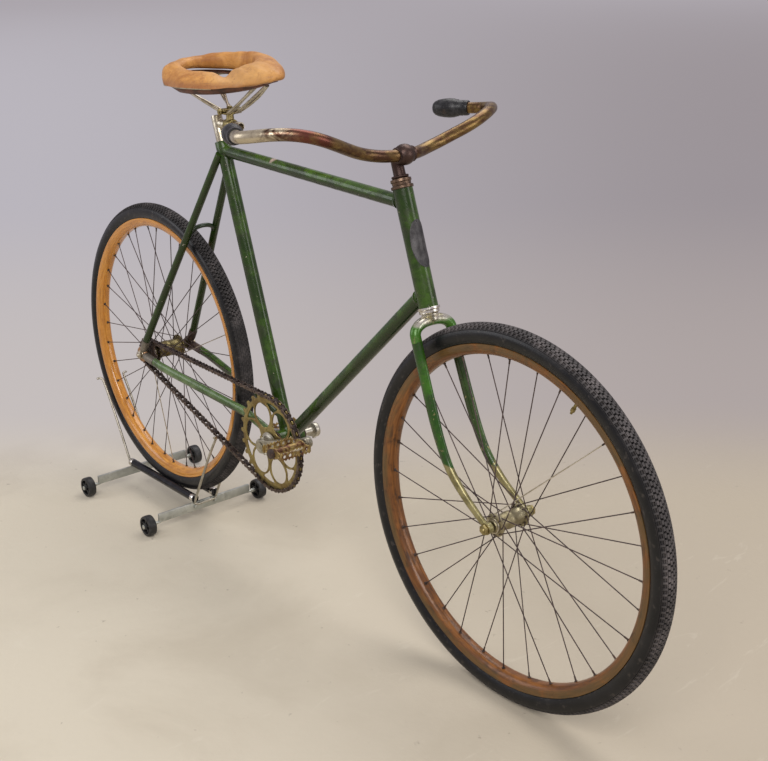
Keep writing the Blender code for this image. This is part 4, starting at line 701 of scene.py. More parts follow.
base = shoulder.mix(base, worn.among(0.56, 0.70).mix((0.046, 0.145, 0.012), (0.240, 0.225, 0.105)))
lay(crown_mat, base, 0.17 + worn * 0.2, (1 - shoulder * 0.8) * 0.9, height=worn, depth=0.00012)
piece("fork_crown_arch", bm, crown_mat, "steering", "nickel", "fork_crown")

# Stem and handlebar: a bronze-brown post with a split ball clamp, and a swept bar whose
# nickel has worn away to brass and a reddish brown. Old grips are bound at the ferrule.
bar_c = HEAD_TOP + Vector((0.0053, 0.0, 0.0613))
post = HEAD_TOP + HEAD * (0.0125 * 1.52 + 0.0005)
bm = bmesh.new()
spun(bm, [(0.0, 0.0), (0.0150, 0.0), (0.0158, 0.0010), (0.0158, 0.0032), (0.0150, 0.0042), (0.0115, 0.0048), (0.0113, 0.0060), (0.0110, 0.0340), (0.0120, 0.0360), (0.0130, 0.0420), (0.0, 0.0420)], post, HEAD, 40)
stick(bm, post + HEAD * 0.033, bar_c, 0.0120, 32, 0.0150)
ball = [(0.0112, 0.0190), (0.0128, 0.0190), (0.0142, 0.0182)] + [(0.0190 * math.cos(math.radians(w)) ** 0.8, 0.0188 * math.sin(math.radians(w))) for w in range(54, -1, -9)]
ball += [(r, -h) for r, h in reversed(ball[:-1])]
spun(bm, ball, bar_c, Y, 48, closed=True)
spun(bm, [(0.0, 0.0), (0.0052, 0.0), (0.0055, 0.0008), (0.0050, 0.0030), (0.0, 0.0034)], bar_c - AHEAD * 0.0130 - Vector((0, 0, 0.0150)), Vector((-0.9, 0, -0.4)), 20)
piece("stem_and_clamp", bm, metal("clamp_brown", (0.095, 0.056, 0.044), (0.050, 0.030, 0.026), (0.018, 0.012, 0.010), 0.28, 70.0, shine=0.8), "steering", "nickel", "stem")
BAR = [(0.0, 0.0, 0.0), (0.0, 0.0220, 0.0), (-0.0070, 0.0430, 0.0006), (-0.0125, 0.0680, 0.0045), (-0.0125, 0.0950, 0.0115), (-0.0080, 0.1230, 0.0215), (-0.0020, 0.1520, 0.0325), (-0.0005, 0.1800, 0.0430),
       (-0.0070, 0.2080, 0.0515), (-0.0215, 0.2350, 0.0560), (-0.0410, 0.2590, 0.0560), (-0.0645, 0.2770, 0.0530), (-0.0885, 0.2845, 0.0500), (-0.1075, 0.2790, 0.0485)]
half_bar = [bar_c + Vector(p) for p in BAR]
grip_end = bar_c + Vector((-0.1855, 0.2410, 0.0450))
grip_way = (grip_end - half_bar[-1]).normalized()
grip_from = half_bar[-1] + grip_way * 0.0120
half_bar = through(half_bar + [grip_from], 5)
bar_mat, place = start("worn_bar")
x, y, z = place.axes()
cloud = place.stretch(1.0, 0.45, 1.0).noise(48.0, 6.0, 0.62, 0.6)
streak = place.stretch(1.0, 0.25, 1.0).noise(150.0, 4.0, 0.6)
brown = cloud.among(0.38, 0.62).mix((0.078, 0.037, 0.023), (0.175, 0.108, 0.040))
brown = (streak.among(0.54, 0.70) * 0.45).mix(brown, (0.340, 0.245, 0.095))
brown = (y.among(0.02, 0.14) * 0.5).mix(brown, streak.among(0.40, 0.62).mix((0.120, 0.058, 0.030), (0.260, 0.170, 0.052)))
plated = (y * -1.0 + cloud * 0.05).among(0.245, 0.290)
brown = (plated * cloud.among(0.30, 0.52)).mix(brown, (0.520, 0.450, 0.330))
flush = (y + 0.205).size().among(0.050, 0.012) * place.noise(30.0, 3.0).among(0.36, 0.54)
brown = (flush * 0.80).mix(brown, (0.150, 0.040, 0.034))
brown = (place.noise(300.0, 4.0).among(0.62, 0.72) * 0.5).mix(brown, (0.050, 0.026, 0.016))
lay(bar_mat, brown, 0.22 + cloud * 0.22, 0.85, height=cloud + place.noise(420.0, 3.0) * 0.3, depth=0.00015)
bm = bmesh.new()
drawn(bm, [Vector((p.x, -p.y, p.z)) for p in reversed(half_bar)] + half_bar[1:], 0.0110, detail=9)
piece("swept_handlebar", bm, bar_mat, "steering", "worn_brass", "handlebar")
grip_mat, place = start("old_grip")
crackle = place.cells(210.0, "DISTANCE_TO_EDGE").among(0.05, 0.0)
cloud = place.noise(70.0, 6.0, 0.65)
base = cloud.among(0.44, 0.72).mix((0.0095, 0.0095, 0.0110), (0.036, 0.035, 0.039))
lay(grip_mat, (place.noise(40.0, 3.0).among(0.62, 0.72) * 0.6).mix(base, (0.060, 0.040, 0.031)), 0.24 + cloud * 0.25, height=cloud * 1.2 + place.noise(90.0, 3.0) * 0.4 - crackle * 0.2, depth=0.0004, coat=0.06, shine=0.35)
for sign, tag in ((-1, "right"), (1, "left")):
    a, b = grip_from + grip_way * 0.0003, grip_end
    a, b = Vector((a.x, a.y * sign, a.z)), Vector((b.x, b.y * sign, b.z))
    n = (b - a).length
    line = [(0.0, n), (0.0062, n - 0.0004), (0.0102, n - 0.0022), (0.0136, n - 0.0060), (0.0164, n - 0.0130), (0.0182, n - 0.0240), (0.0189, n * 0.52), (0.0184, n * 0.40), (0.0174, 0.0270), (0.0170, 0.0245),
            (0.0161, 0.0232), (0.0166, 0.0216), (0.0160, 0.0204), (0.0150, 0.0190), (0.0153, 0.0120), (0.0147, 0.0104), (0.0150, 0.0088), (0.0149, 0.0022), (0.0142, 0.0), (0.0, 0.0)]
    bm = bmesh.new()
    spun(bm, line, a, b - a, 48)
    piece("grip_moulded_" + tag, bm, grip_mat, "steering", "grip", "grip_" + tag, crease=60)

# Seat pillar: a nickelled tube with a forward arm, open at its end; the saddle clamp
# slides on the arm and is drawn up by a bolt with a square nut.
pillar_top = SEAT_TOP + SEAT * 0.0560
arm_at = pillar_top - SEAT * 0.0170
bm = bmesh.new()
spun(bm, [(0.0, 0.0003), (0.0120, 0.0003), (0.0120, 0.0530), (0.0112, 0.0556), (0.0094, 0.0560), (0.0092, 0.0500), (0.0, 0.0495)], SEAT_TOP, SEAT, 40)
front = arm_at + Vector((0.0850, 0, 0))
spun(bm, [(0.0, -0.0040), (0.0098, -0.0040), (0.0098, 0.0842), (0.0092, 0.0850), (0.0078, 0.0850), (0.0076, 0.0600), (0.0, 0.0600)], arm_at, Vector((1, 0, 0)), 40)
flare(bm, arm_at + Vector((0.0112, 0, 0)), Vector((1, 0, 0)), 0.0098)
piece("seat_pillar_nickel", bm, old_nickel, "frame", "nickel", "seat_pillar")

# Saddle: a ring-shaped seat of stuffed tan leather, worn and creased, over a dark
# leather skirt and a steel base, carried by bent nickelled springs and their clamp.
BACK, NOSE, WIDE = SEAT_TOP.x - 0.1185, SEAT_TOP.x + 0.1955, 0.1150
LOW, THICK = SEAT_TOP.z + 0.1270, 0.0565


def egg(inset, turn):
    mid = BACK + 0.38 * (NOSE - BACK)
    c, s = math.cos(turn), math.sin(turn)
    if c < 0:
        return mid + (mid - BACK - inset) * c, (WIDE - inset) * s
    return mid + (NOSE - mid - inset * 1.75) * c, (WIDE - inset) * s * (1.0 - 0.42 * c ** 1.5)


leather, place = start("tan_leather")
x, y, z = place.axes()
cloud = place.noise(20.0, 6.0, 0.64, 0.6)
pores = place.noise(520.0, 4.0, 0.6)
folds = place.stretch(1.0, 1.0, 0.6).noise(58.0, 4.0, 0.6, 1.2)
veins = place.cells(70.0, "DISTANCE_TO_EDGE").among(0.05, 0.0)
tan = cloud.among(0.36, 0.64).mix((0.610, 0.290, 0.080), (0.400, 0.158, 0.036))
tan = (place.noise(7.0, 3.0).among(0.48, 0.66) * 0.5).mix(tan, (0.700, 0.405, 0.155))
tan = (folds.among(0.56, 0.70) * 0.45).mix(tan, (0.290, 0.110, 0.040))
tan = (place.noise(85.0, 5.0, 0.7).among(0.61, 0.72) * x.among(-0.200, -0.130) * 0.75).mix(tan, (0.230, 0.078, 0.034))
# painted shade: the roll is painted darker and redder towards its underside
tan = (z.among(1.0720, 1.0590) * 0.6).mix(tan, (0.230, 0.078, 0.034))
lay(leather, (veins * 0.12).mix(tan, (0.20, 0.08, 0.03)), 0.40 + cloud * 0.2, height=pores * 0.30 + cloud * 1.2 + folds * 1.4 - veins * 0.25, depth=0.0012, coat=0.05, shine=0.32)
# round the ring from the nose by the left: the crest above the base, how far its outer
# edge falls away, the width of the roll, and how high its underside is; the right side
# has sunk, with a deep crease
ROLL = ((0, 0.0455, 0.010, 0.053, 0.016), (35, 0.0505, 0.009, 0.050, 0.013), (90, 0.0560, 0.008, 0.043, 0.010), (140, 0.0525, 0.006, 0.039, 0.017), (180, 0.0450, 0.005, 0.036, 0.020), (222, 0.0385, 0.006, 0.039, 0.017),
        (262, 0.0305, 0.025, 0.055, 0.003), (298, 0.0290, 0.027, 0.058, 0.000), (313, 0.0160, 0.010, 0.054, 0.000), (327, 0.0345, 0.009, 0.055, 0.005), (345, 0.0430, 0.010, 0.054, 0.012), (360, 0.0455, 0.010, 0.053, 0.016))


def roll(turn):
    w = math.degrees(turn) % 360
    for one, two in zip(ROLL, ROLL[1:]):
        if w <= two[0]:
            t = (w - one[0]) / (two[0] - one[0])
            return [p + (q - p) * t * t * (3 - 2 * t) for p, q in zip(one[1:], two[1:])]


bm = bmesh.new()
around, across = 120, 24
rings = []
for i in range(around):
    turn = 2 * math.pi * i / around
    degree = math.degrees(turn)
    crest, fall, width, under = roll(turn)
    pinch = math.exp(-((degree - 313) / 6.0) ** 2) + 0.4 * math.exp(-((degree - 47) / 6.0) ** 2)
    reach_ = 0.0190 * max(0.0, math.cos(turn)) ** 2 - 0.0060 * max(0.0, -math.cos(turn)) ** 2   # stuffed out in front and behind
    (ox, oy), (ix, iy) = egg(0.0045 * pinch, turn), egg(width, turn)
    ring = []
    for j in range(across):
        w = 2 * math.pi * j / across
        u, t = math.cos(w), math.sin(w)
        u, t = math.copysign(abs(u) ** 0.84, u), math.copysign(abs(t) ** 0.82, t)
        share_ = (u + 1) / 2
        belly = under + 0.42 * (crest - under)
        z_ = belly + ((crest - belly) * t if t > 0 else (belly - under) * t) - fall * share_ ** 1.5
        if t > 0:
            wrinkle = math.exp(-((degree - 332) / 16) ** 2) * 0.0011 * math.sin(degree * 0.85 + 4 * u) + 0.0006 * math.sin(turn * 17 + 2.5 * u)
            z_ += wrinkle * t
        z_ = max(z_, 0.0006 - 0.0055 * max(0.0, u - 0.55) / 0.45 * fall / 0.026)
        ring.append(bm.verts.new((ix + (ox - ix) * share_ + reach_ * share_, iy + (oy - iy) * share_, LOW + z_)))
    rings.append(ring)
for i in range(around):
    for j in range(across):
        bm.faces.new((rings[i][j], rings[(i + 1) % around][j], rings[(i + 1) % around][(j + 1) % across], rings[i][(j + 1) % across]))
saddle = piece("saddle_leather", bm, leather, "frame", "saddle_leather", "saddle", crease=180)
smooth = saddle.modifiers.new("smooth", "SUBSURF")
smooth.levels = smooth.render_levels = 1

dark_leather, place = start("dark_skirt")
cloud = place.noise(40.0, 5.0, 0.6)
lay(dark_leather, cloud.among(0.35, 0.65).mix((0.150, 0.052, 0.028), (0.048, 0.020, 0.013)), 0.42 + cloud * 0.2, height=cloud + place.noise(300.0, 4.0) * 0.3, depth=0.0008)
bm = bmesh.new()
loops = []
for drop_by, inset in ((0.0040, 0.0100), (-0.0020, 0.0085), (-0.0080, 0.0110), (-0.0130, 0.0180), (-0.0100, 0.0260), (0.0010, 0.0300)):
    ring = []
    for i in range(96):
        turn = 2 * math.pi * i / 96
        hangs = max(0.0, math.cos(turn - math.radians(296))) ** 1.6
        low_ = drop_by if drop_by > 0 else drop_by * (0.12 + 1.25 * hangs)
        ring.append(bm.verts.new((*egg(inset + 0.0012 * math.sin(7 * turn), turn), LOW - 0.0008 + low_ + 0.0110 * max(0.0, -math.cos(turn)) + 0.0080 * max(0.0, math.cos(turn)) ** 2)))
    loops.append(ring)
for ring, below in zip(loops, loops[1:]):
    for i in range(96):
        bm.faces.new((ring[i], ring[(i + 1) % 96], below[(i + 1) % 96], below[i]))
skirt = piece("saddle_skirt", bm, dark_leather, "frame", "saddle_leather", crease=180)
flesh = skirt.modifiers.new("leather", "SOLIDIFY")
flesh.thickness, flesh.offset = 0.0022, 0.0

# two steel wires edge the base behind and on the right, held by a copper clip
bm = bmesh.new()
for first, last, inset, low_ in ((70, 300, 0.0085, 0.0056), (135, 262, 0.0035, 0.0125)):
    route = []
    for i in range(41):
        degree = first + (last - first) * i / 40
        ease = min(1.0, min(degree - first, last - degree) / 22.0)
        ease = ease * ease * (3 - 2 * ease)
        x_, y_ = egg(0.0085 + (inset - 0.0085) * ease, math.radians(degree))
        route.append(Vector((x_, y_, LOW - 0.0056 - (low_ - 0.0056) * ease + 0.0150 * max(0.0, -math.cos(math.radians(degree))))))
    drawn(bm, route, 0.0025, detail=4)
piece("saddle_edge_wires", bm, old_nickel, "frame", "nickel")
bm = bmesh.new()
CLIP = math.radians(218)
clip_z = LOW - 0.0090 + 0.0150 * max(0.0, -math.cos(CLIP))
here, there = Vector((*egg(0.0060, CLIP), clip_z)), Vector((*egg(0.0060, CLIP + 0.05), clip_z - 0.0005))
spun(bm, [(0.0052, -0.0045), (0.0070, -0.0040), (0.0070, 0.0040), (0.0052, 0.0045)], here, there - here, 24, closed=True)
piece("saddle_wire_clip", bm, copper, "frame", "worn_brass")

clamp_at = Vector((arm_at.x + 0.0850 * 0.55, 0.0, arm_at.z + 0.0290))
bm = bmesh.new()
for sign in (-1, 1):
    for shift in (0.0, 0.0075):
        route = through([(BACK + 0.0260 - shift, sign * (0.056 - shift), LOW - 0.0015), (BACK + 0.0700, sign * (0.034 + shift * 0.8), LOW - 0.0300 + shift * 0.6), clamp_at + Vector((-0.010, sign * (0.0150 - shift), 0.0)),
                         clamp_at + Vector((0.018, sign * (0.0150 - shift), 0.001)), (NOSE - 0.0840, sign * (0.018 - shift * 0.9), LOW - 0.0300 + shift * 0.5), (NOSE - 0.0420, sign * (0.016 - shift * 0.6), LOW - 0.0015)], 8)
        drawn(bm, route, 0.0031, detail=4)
piece("saddle_springs", bm, old_nickel, "frame", "nickel", "saddle_frame")


def brick(bm, low, high, edge=0.0010):
    part = bmesh.new()
    bmesh.ops.create_cube(part, size=1.0)
    bmesh.ops.scale(part, vec=Vector(high) - Vector(low), verts=part.verts)
    bmesh.ops.bevel(part, geom=part.edges[:], offset=edge, offset_type="OFFSET", segments=2, profile=0.5, affect="EDGES", material=-1)
    put_in(bm, part, Matrix.Translation((Vector(low) + Vector(high)) / 2))


bm = bmesh.new()
brick(bm, clamp_at + Vector((-0.0120, -0.0220, -0.0045)), clamp_at + Vector((0.0120, 0.0220, -0.0008)))
brick(bm, clamp_at + Vector((-0.0120, -0.0220, 0.0010)), clamp_at + Vector((0.0120, 0.0220, 0.0060)))
spun(bm, [(0.0099, -0.0115), (0.0128, -0.0115), (0.0134, -0.0100), (0.0134, 0.0100), (0.0128, 0.0115), (0.0099, 0.0115)], Vector((clamp_at.x, 0.0, arm_at.z)), Vector((1, 0, 0)), 32, closed=True)
stick(bm, (clamp_at.x, 0.0, arm_at.z + 0.0100), clamp_at + Vector((0, 0, 0.0060)), 0.0085, 24, 0.0070)
stick(bm, clamp_at + Vector((0.0, -0.0290, 0.0005)), clamp_at + Vector((0.0, 0.0270, 0.0005)), 0.0032, 16)
nut(bm, clamp_at + Vector((0.0, -0.0246, 0.0005)), (0, 1, 0), 0.0068, 0.0052)
nut(bm, clamp_at + Vector((0.0, 0.0240, 0.0005)), (0, 1, 0), 0.0068, 0.0044)
nut(bm, clamp_at + Vector((0.0, 0.0, 0.0080)), (0, 0, 1), 0.0068, 0.0052)
piece("saddle_clamp", bm, olive_brass, "frame", "worn_brass")

# Chain wheel: a stamped brass-coloured ring of 26 teeth, carried by six looped arms.
PITCH = 0.0254
ring_r, cog_r = PITCH / (2 * math.sin(math.pi / 26)), PITCH / (2 * math.sin(math.pi / 8))
CHAIN_Y = -0.0475


def pressed(bm, outlines, thick, matrix, edge=0.0005):
    """A flat outline with its holes, pressed out of sheet with softened edges."""
    cu = bpy.data.curves.new("pressed", "CURVE")
    cu.dimensions, cu.fill_mode = "2D", "BOTH"
    cu.extrude, cu.bevel_depth, cu.bevel_resolution, cu.offset = thick / 2 - edge, edge, 1, -edge
    for line in outlines:
        sp = cu.splines.new("POLY")
        sp.points.add(len(line) - 1)
        for point, (x_, y_) in zip(sp.points, line):
            point.co = (x_, y_, 0.0, 1.0)
        sp.use_cyclic_u = True
    ob = bpy.data.objects.new("pressed", cu)
    bpy.context.scene.collection.objects.link(ob)
    bpy.context.view_layer.update()
    mesh = bpy.data.meshes.new_from_object(ob.evaluated_get(bpy.context.evaluated_depsgraph_get()))
    mesh.transform(matrix)
    bm.from_mesh(mesh)
    bpy.data.meshes.remove(mesh)
    bpy.data.objects.remove(ob)
    bpy.data.curves.remove(cu)


def upright(centre, turn=0.0):
    """Stands a flat outline in the X-Z plane."""
    return Matrix.Translation(centre) @ Matrix.Rotation(-turn, 4, "Y") @ Matrix.Rotation(math.pi / 2, 4, "X")


def circle(radius, sides, x_=0.0, y_=0.0):
    return [(x_ + radius * math.cos(2 * math.pi * i / sides), y_ + radius * math.sin(2 * math.pi * i / sides)) for i in range(sides)]


def toothed(teeth, radius, phase):
    out = []
    for k in range(teeth):
        a = phase + 2 * math.pi * k / teeth
        for r, w in ((radius - 0.0042, -0.0076), (radius - 0.0034, -0.0060), (radius + 0.0024, -0.0040), (radius + 0.0040, -0.0022), (radius + 0.0040, 0.0022), (radius + 0.0024, 0.0040), (radius - 0.0034, 0.0060), (radius - 0.0042, 0.0076)):
            out.append((r * math.cos(a + w / radius), r * math.sin(a + w / radius)))
    return out


cog_c, ring_c = Vector((REAR.x, REAR.z)), Vector((BOTTOM.x, BOTTOM.z))
between = ring_c - cog_c
slope = math.atan2(between.y, between.x)
splay = math.asin((ring_r - cog_r) / between.length)
high_a, low_a = slope + math.pi / 2 + splay, slope - math.pi / 2 - splay
run = math.sqrt(between.length ** 2 - (ring_r - cog_r) ** 2)
ring_arc, cog_arc = ring_r * (math.pi + 2 * splay), cog_r * (math.pi - 2 * splay)
loop_len = 2 * run + ring_arc + cog_arc
LINKS = round(loop_len / PITCH)
STEP = loop_len / LINKS
ring_phase = high_a - (math.ceil(run / STEP) * STEP - run) / ring_r
cog_phase = low_a - (round((2 * run + ring_arc + cog_arc / 2) / STEP) * STEP - 2 * run - ring_arc) / cog_r

band_in = ring_r - 0.0042 - 0.0100
mid_r = (band_in + 0.0330) / 2
deep_r, wide_r = (band_in - 0.0330) / 2 + 0.00125, mid_r * math.sin(math.pi / 6) + 0.00125
holes = []
for k in range(6):
    c = math.radians(53) + 2 * math.pi * k / 6
    loop = []
    for i in range(56):
        w = 2 * math.pi * i / 56
        u, v = mid_r + (deep_r - 0.0025) * math.cos(w), (wide_r - 0.0050) * math.sin(w) * (1.0 + 0.10 * math.cos(w))
        loop.append((u * math.cos(c) - v * math.sin(c), u * math.sin(c) + v * math.cos(c)))
    holes.append(loop)
    g = c + math.pi / 6
    half_a = math.pi / 6 * 0.44
    outer, inner = [], []
    for i in range(13):
        a = -half_a + 2 * half_a * i / 12
        outer.append((band_in, g + a))
        off, r = math.pi / 6 - abs(a), band_in
        while r > mid_r and ((r * math.cos(off) - mid_r) / (deep_r + 0.0025)) ** 2 + (r * math.sin(off) / wide_r) ** 2 > 1.0:
            r -= 0.0001
        inner.append((min(r, band_in - 0.0010), g + a))
    holes.append([(r * math.cos(a), r * math.sin(a)) for r, a in outer + inner[-2:0:-1]])
ring_brass = metal("ring_brass", (0.330, 0.262, 0.100), (0.200, 0.140, 0.048), (0.085, 0.042, 0.022), 0.36, 110.0, shine=0.9)
bm = bmesh.new()
pressed(bm, [toothed(26, ring_r, ring_phase)] + holes + [circle(0.0082, 32)], 0.0030, upright(BOTTOM + Y * CHAIN_Y), 0.0006)
for k in range(6):
    c = math.radians(53) + 2 * math.pi * k / 6
    for way, r in ((0.0, 0.0330),):
        at = BOTTOM + Vector((r * math.cos(c), CHAIN_Y - 0.0015, r * math.sin(c)))
        spun(bm, [(0.0, 0.0), (0.0036, 0.0), (0.0033, 0.0010), (0.0018, 0.0018), (0.0, 0.0020)], at, -Y, 16)
piece("looped_chain_wheel", bm, ring_brass, "crankset", "worn_brass", "chainring")
bm = bmesh.new()
pressed(bm, [toothed(8, cog_r, cog_phase), circle(0.0055, 24)], 0.0030, upright(REAR + Y * CHAIN_Y), 0.0005)
spun(bm, [(0.0130, -0.0030), (0.0170, -0.0030), (0.0178, -0.0022), (0.0178, 0.0005), (0.0130, 0.0005)], REAR + Y * CHAIN_Y, Y, 32, closed=True)
piece("rear_cog", bm, dark_steel, "rear_wheel", "dark_steel", "rear_sprocket")

# Chain: one-inch block chain, solid figure-of-eight blocks between pairs of side plates
# with riveted ends, oiled black and rusty brown. It is one fixed loop.
def on_loop(s):
    s %= loop_len
    ray = lambda a: Vector((math.cos(a), math.sin(a)))
    if s < run:
        return cog_c + ray(high_a) * cog_r + Vector((math.sin(high_a), -math.cos(high_a))) * s
    s -= run
    if s < ring_arc:
        return ring_c + ray(high_a - s / ring_r) * ring_r
    s -= ring_arc
    if s < run:
        return ring_c + ray(low_a) * ring_r + Vector((math.sin(low_a), -math.cos(low_a))) * s
    return cog_c + ray(low_a - (s - run) / cog_r) * cog_r


def eight(length, high, waist, count=7):
    """Half-round ends joined over a slimmer waist."""
    out = []
    for end in (1, -1):
        for i in range(count):
            w = math.radians(-78 + 156 * i / (count - 1))
            out.append((end * (length / 2 + high * math.cos(w)), end * high * math.sin(w)))
        out.append((0.0, end * waist))
    return out


blocks, plates = bmesh.new(), bmesh.new()
for k in range(LINKS):
    for centre, reach_, high_, waist, thick, places in ((k * STEP, 0.0152, 0.0045, 0.0024, 0.0019, (-0.00525, 0.00525)), ((k + 0.5) * STEP, 0.0102, 0.0039, 0.0022, 0.0078, (0.0,))):
        bm = plates if places[0] else blocks
        a, b = on_loop(centre - reach_ / 2), on_loop(centre + reach_ / 2)
        m, angle = (a + b) / 2, math.atan2((b - a).y, (b - a).x)
        for off in places:
            pressed(bm, [eight((b - a).length, high_, waist)], thick, upright(Vector((m.x, CHAIN_Y + off, m.y)), angle), 0.0003)
        if off:
            for p in (a, b):
                stick(bm, (p.x, CHAIN_Y - 0.0069, p.y), (p.x, CHAIN_Y + 0.0069, p.y), 0.0021, 8)
piece("block_chain", blocks, metal("oiled_black", (0.034, 0.024, 0.021), (0.018, 0.012, 0.011), (0.050, 0.026, 0.018), 0.40, 170.0, shine=0.6), "frame", "dark_steel", "chain", crease=35)
piece("chain_side_plates", plates, metal("oiled_brown", (0.150, 0.110, 0.090), (0.056, 0.038, 0.032), (0.018, 0.012, 0.010), 0.30, 170.0, shine=0.8), "frame", "dark_steel", crease=35)

# Cranks: forged arms keyed to the axle with cotter pins, nickel gone grey; each carries
# a rat-trap pedal of toothed, pierced plates, rusty brown with brassy edges.
turn = math.radians(19.5)
eye_way = Vector((math.cos(turn), 0.0, math.sin(turn))) * 0.1730
crank_nickel = metal("crank_nickel", (0.500, 0.475, 0.405), (0.330, 0.305, 0.235), (0.090, 0.070, 0.042), 0.30, 80.0, amount=0.35)
bm = bmesh.new()
stick(bm, BOTTOM - Y * 0.0745, BOTTOM + Y * 0.0745, 0.0078, 32)
spun(bm, [(0.0079, -0.0505), (0.0240, -0.0505), (0.0255, -0.0512), (0.0255, -0.0530), (0.0200, -0.0545), (0.0180, -0.0560), (0.0165, -0.0640), (0.0079, -0.0640)], BOTTOM, Y, 40, closed=True)
for sign in (-1, 1):
    way = eye_way * (1 if sign < 0 else -1)
    outline = [(0.0165 * math.cos(math.radians(90 + 15 * i)), 0.0165 * math.sin(math.radians(90 + 15 * i))) for i in range(13)]
    outline += [(0.0300, -0.0118), (0.0600, -0.0098), (0.1100, -0.0086), (0.1500, -0.0090)]
    outline += [(0.1730 + 0.0115 * math.cos(math.radians(-90 + 15 * i)), 0.0115 * math.sin(math.radians(-90 + 15 * i))) for i in range(13)]
    outline += [(0.1500, 0.0090), (0.1100, 0.0086), (0.0600, 0.0098), (0.0300, 0.0118)]
    pressed(bm, [outline], 0.0120, upright(BOTTOM + Y * sign * 0.0700, turn + (math.pi if sign > 0 else 0.0)), 0.0028)
    spun(bm, [(0.0, 0.0750), (0.0090, 0.0750), (0.0110, 0.0766), (0.0108, 0.0780), (0.0, 0.0786)], BOTTOM, Y * sign, 32)
    eye = BOTTOM + way
    pin_way = Vector((way.z, 0, -way.x)).normalized()
    stick(bm, BOTTOM + Y * sign * 0.0700 + way.normalized() * 0.0088 - pin_way * 0.0190, BOTTOM + Y * sign * 0.0700 + way.normalized() * 0.0088 + pin_way * 0.0180, 0.0036, 16, 0.0030)
    nut(bm, BOTTOM + Y * sign * 0.0700 + way.normalized() * 0.0088 + pin_way * 0.0170, pin_way, 0.0058, 0.0042)
    stick(bm, eye + Y * sign * 0.0680, eye + Y * sign * 0.0790, 0.0092, 32)
    stick(bm, eye + Y * sign * 0.0700, eye + Y * sign * 0.1620, 0.0042, 20)
piece("crank_arms", bm, crank_nickel, "crankset", "nickel", "cranks")

pedal_mat, place = start("rusty_pedal")
cloud = place.noise(75.0, 6.0, 0.62, 0.4)
z_ = place.noise(240.0, 4.0, 0.6)
base = cloud.among(0.42, 0.62).mix((0.420, 0.310, 0.115), (0.140, 0.062, 0.036))
base = (z_.among(0.56, 0.70) * 0.6).mix(base, (0.060, 0.030, 0.024))
base = (place.noise(28.0, 2.0).among(0.60, 0.66) * 0.8).mix(base, (0.600, 0.540, 0.420))
lay(pedal_mat, base, 0.30 + cloud * 0.3, 0.75, height=cloud + z_ * 0.6, depth=0.0004)
for sign, tag in ((-1, "right"), (1, "left")):
    eye = BOTTOM + eye_way * (1 if sign < 0 else -1)
    inner, outer = 0.0840, 0.1600
    bm = bmesh.new()
    spun(bm, [(0.0048, inner + 0.0010), (0.0092, inner + 0.0010), (0.0098, inner + 0.0030), (0.0094, inner + 0.0080), (0.0074, inner + 0.0120), (0.0070, outer - 0.0160), (0.0090, outer - 0.0110), (0.0094, outer - 0.0020), (0.0086, outer - 0.0002), (0.0048, outer)], eye, Y * sign, 36, closed=True)
    w, h = 0.0312 - 0.0011, 0.0095
    for y_ in (inner + 0.0050, outer - 0.0050):
        line = [(-w, -h * 0.62), (-w * 0.55, -h * 0.72), (-w * 0.30, -h * 1.10), (0.0, -h * 1.20), (w * 0.30, -h * 1.10), (w * 0.55, -h * 0.72), (w, -h * 0.62)]
        line += [(x_, -z2) for x_, z2 in reversed(line)]
        gaps = [circle(0.0042, 16, x_=s * w * 0.68) for s in (-1, 1)]
        pressed(bm, [line] + gaps, 0.0020, upright(eye + Y * sign * y_), 0.0004)
    half_len, count = 0.0368, 9
    edge_line = []
    for i in range(count):
        for share_, up_ in ((0.15, h - 0.0030), (0.5, h), (0.85, h - 0.0030)):
            edge_line.append((-half_len + 2 * half_len * (i + share_) / count, up_))
    edge_line = [(-half_len, h - 0.0036)] + edge_line + [(half_len, h - 0.0036)]
    line = edge_line + [(x_, -z2) for x_, z2 in reversed(edge_line)]
    gaps = [circle(0.0034, 16, x_=half_len * f) for f in (-0.74, -0.37, 0.0, 0.37, 0.74)]
    for x_ in (-1, 1):
        stand_up = Matrix.Translation(eye + Vector((x_ * w, sign * (inner + outer) / 2, 0.0))) @ Matrix.Rotation(math.pi / 2, 4, "Z") @ Matrix.Rotation(math.pi / 2, 4, "X")
        pressed(bm, [line] + gaps, 0.0022, stand_up, 0.0004)
    piece("rat_trap_" + tag, bm, pedal_mat, "pedal_" + tag, "worn_brass", "pedal_" + tag, crease=30)
    bm = bmesh.new()
    spun(bm, [(0.0, outer + 0.0058), (0.0060, outer + 0.0056), (0.0094, outer + 0.0040), (0.0100, outer + 0.0004), (0.0098, outer - 0.0030), (0.0, outer - 0.0030)], eye, Y * sign, 32)
    piece("dust_cap_" + tag, bm, dark_steel, "pedal_" + tag, "dark_steel")

# Rolling stand: galvanised flat bars bolted to two black lacquered tubes with nickel
# ends, wire prongs for the tyre, and small black spoked wheels on bolts.
zinc = metal("galvanised", (0.560, 0.575, 0.540), (0.400, 0.415, 0.385), (0.230, 0.230, 0.200), 0.34, 60.0, amount=0.2, shine=0.9)
beige_wire = metal("prong_wire", (0.520, 0.490, 0.420), (0.380, 0.350, 0.280), (0.200, 0.170, 0.120), 0.32, shine=0.9)
black, place = start("black_lacquer")
cloud = place.noise(30.0, 5.0, 0.6)
lay(black, (place.noise(160.0, 4.0).among(0.66, 0.72) * 0.5).mix(cloud.among(0.4, 0.7).mix((0.004, 0.004, 0.006), (0.013, 0.013, 0.017)), (0.12, 0.12, 0.12)), 0.12 + cloud * 0.15, height=place.noise(90.0, 3.0), depth=0.00006, coat=0.20, coat_rough=0.04, shine=0.25)
moulded, place = start("wheel_black")
cloud = place.noise(90.0, 5.0, 0.6)
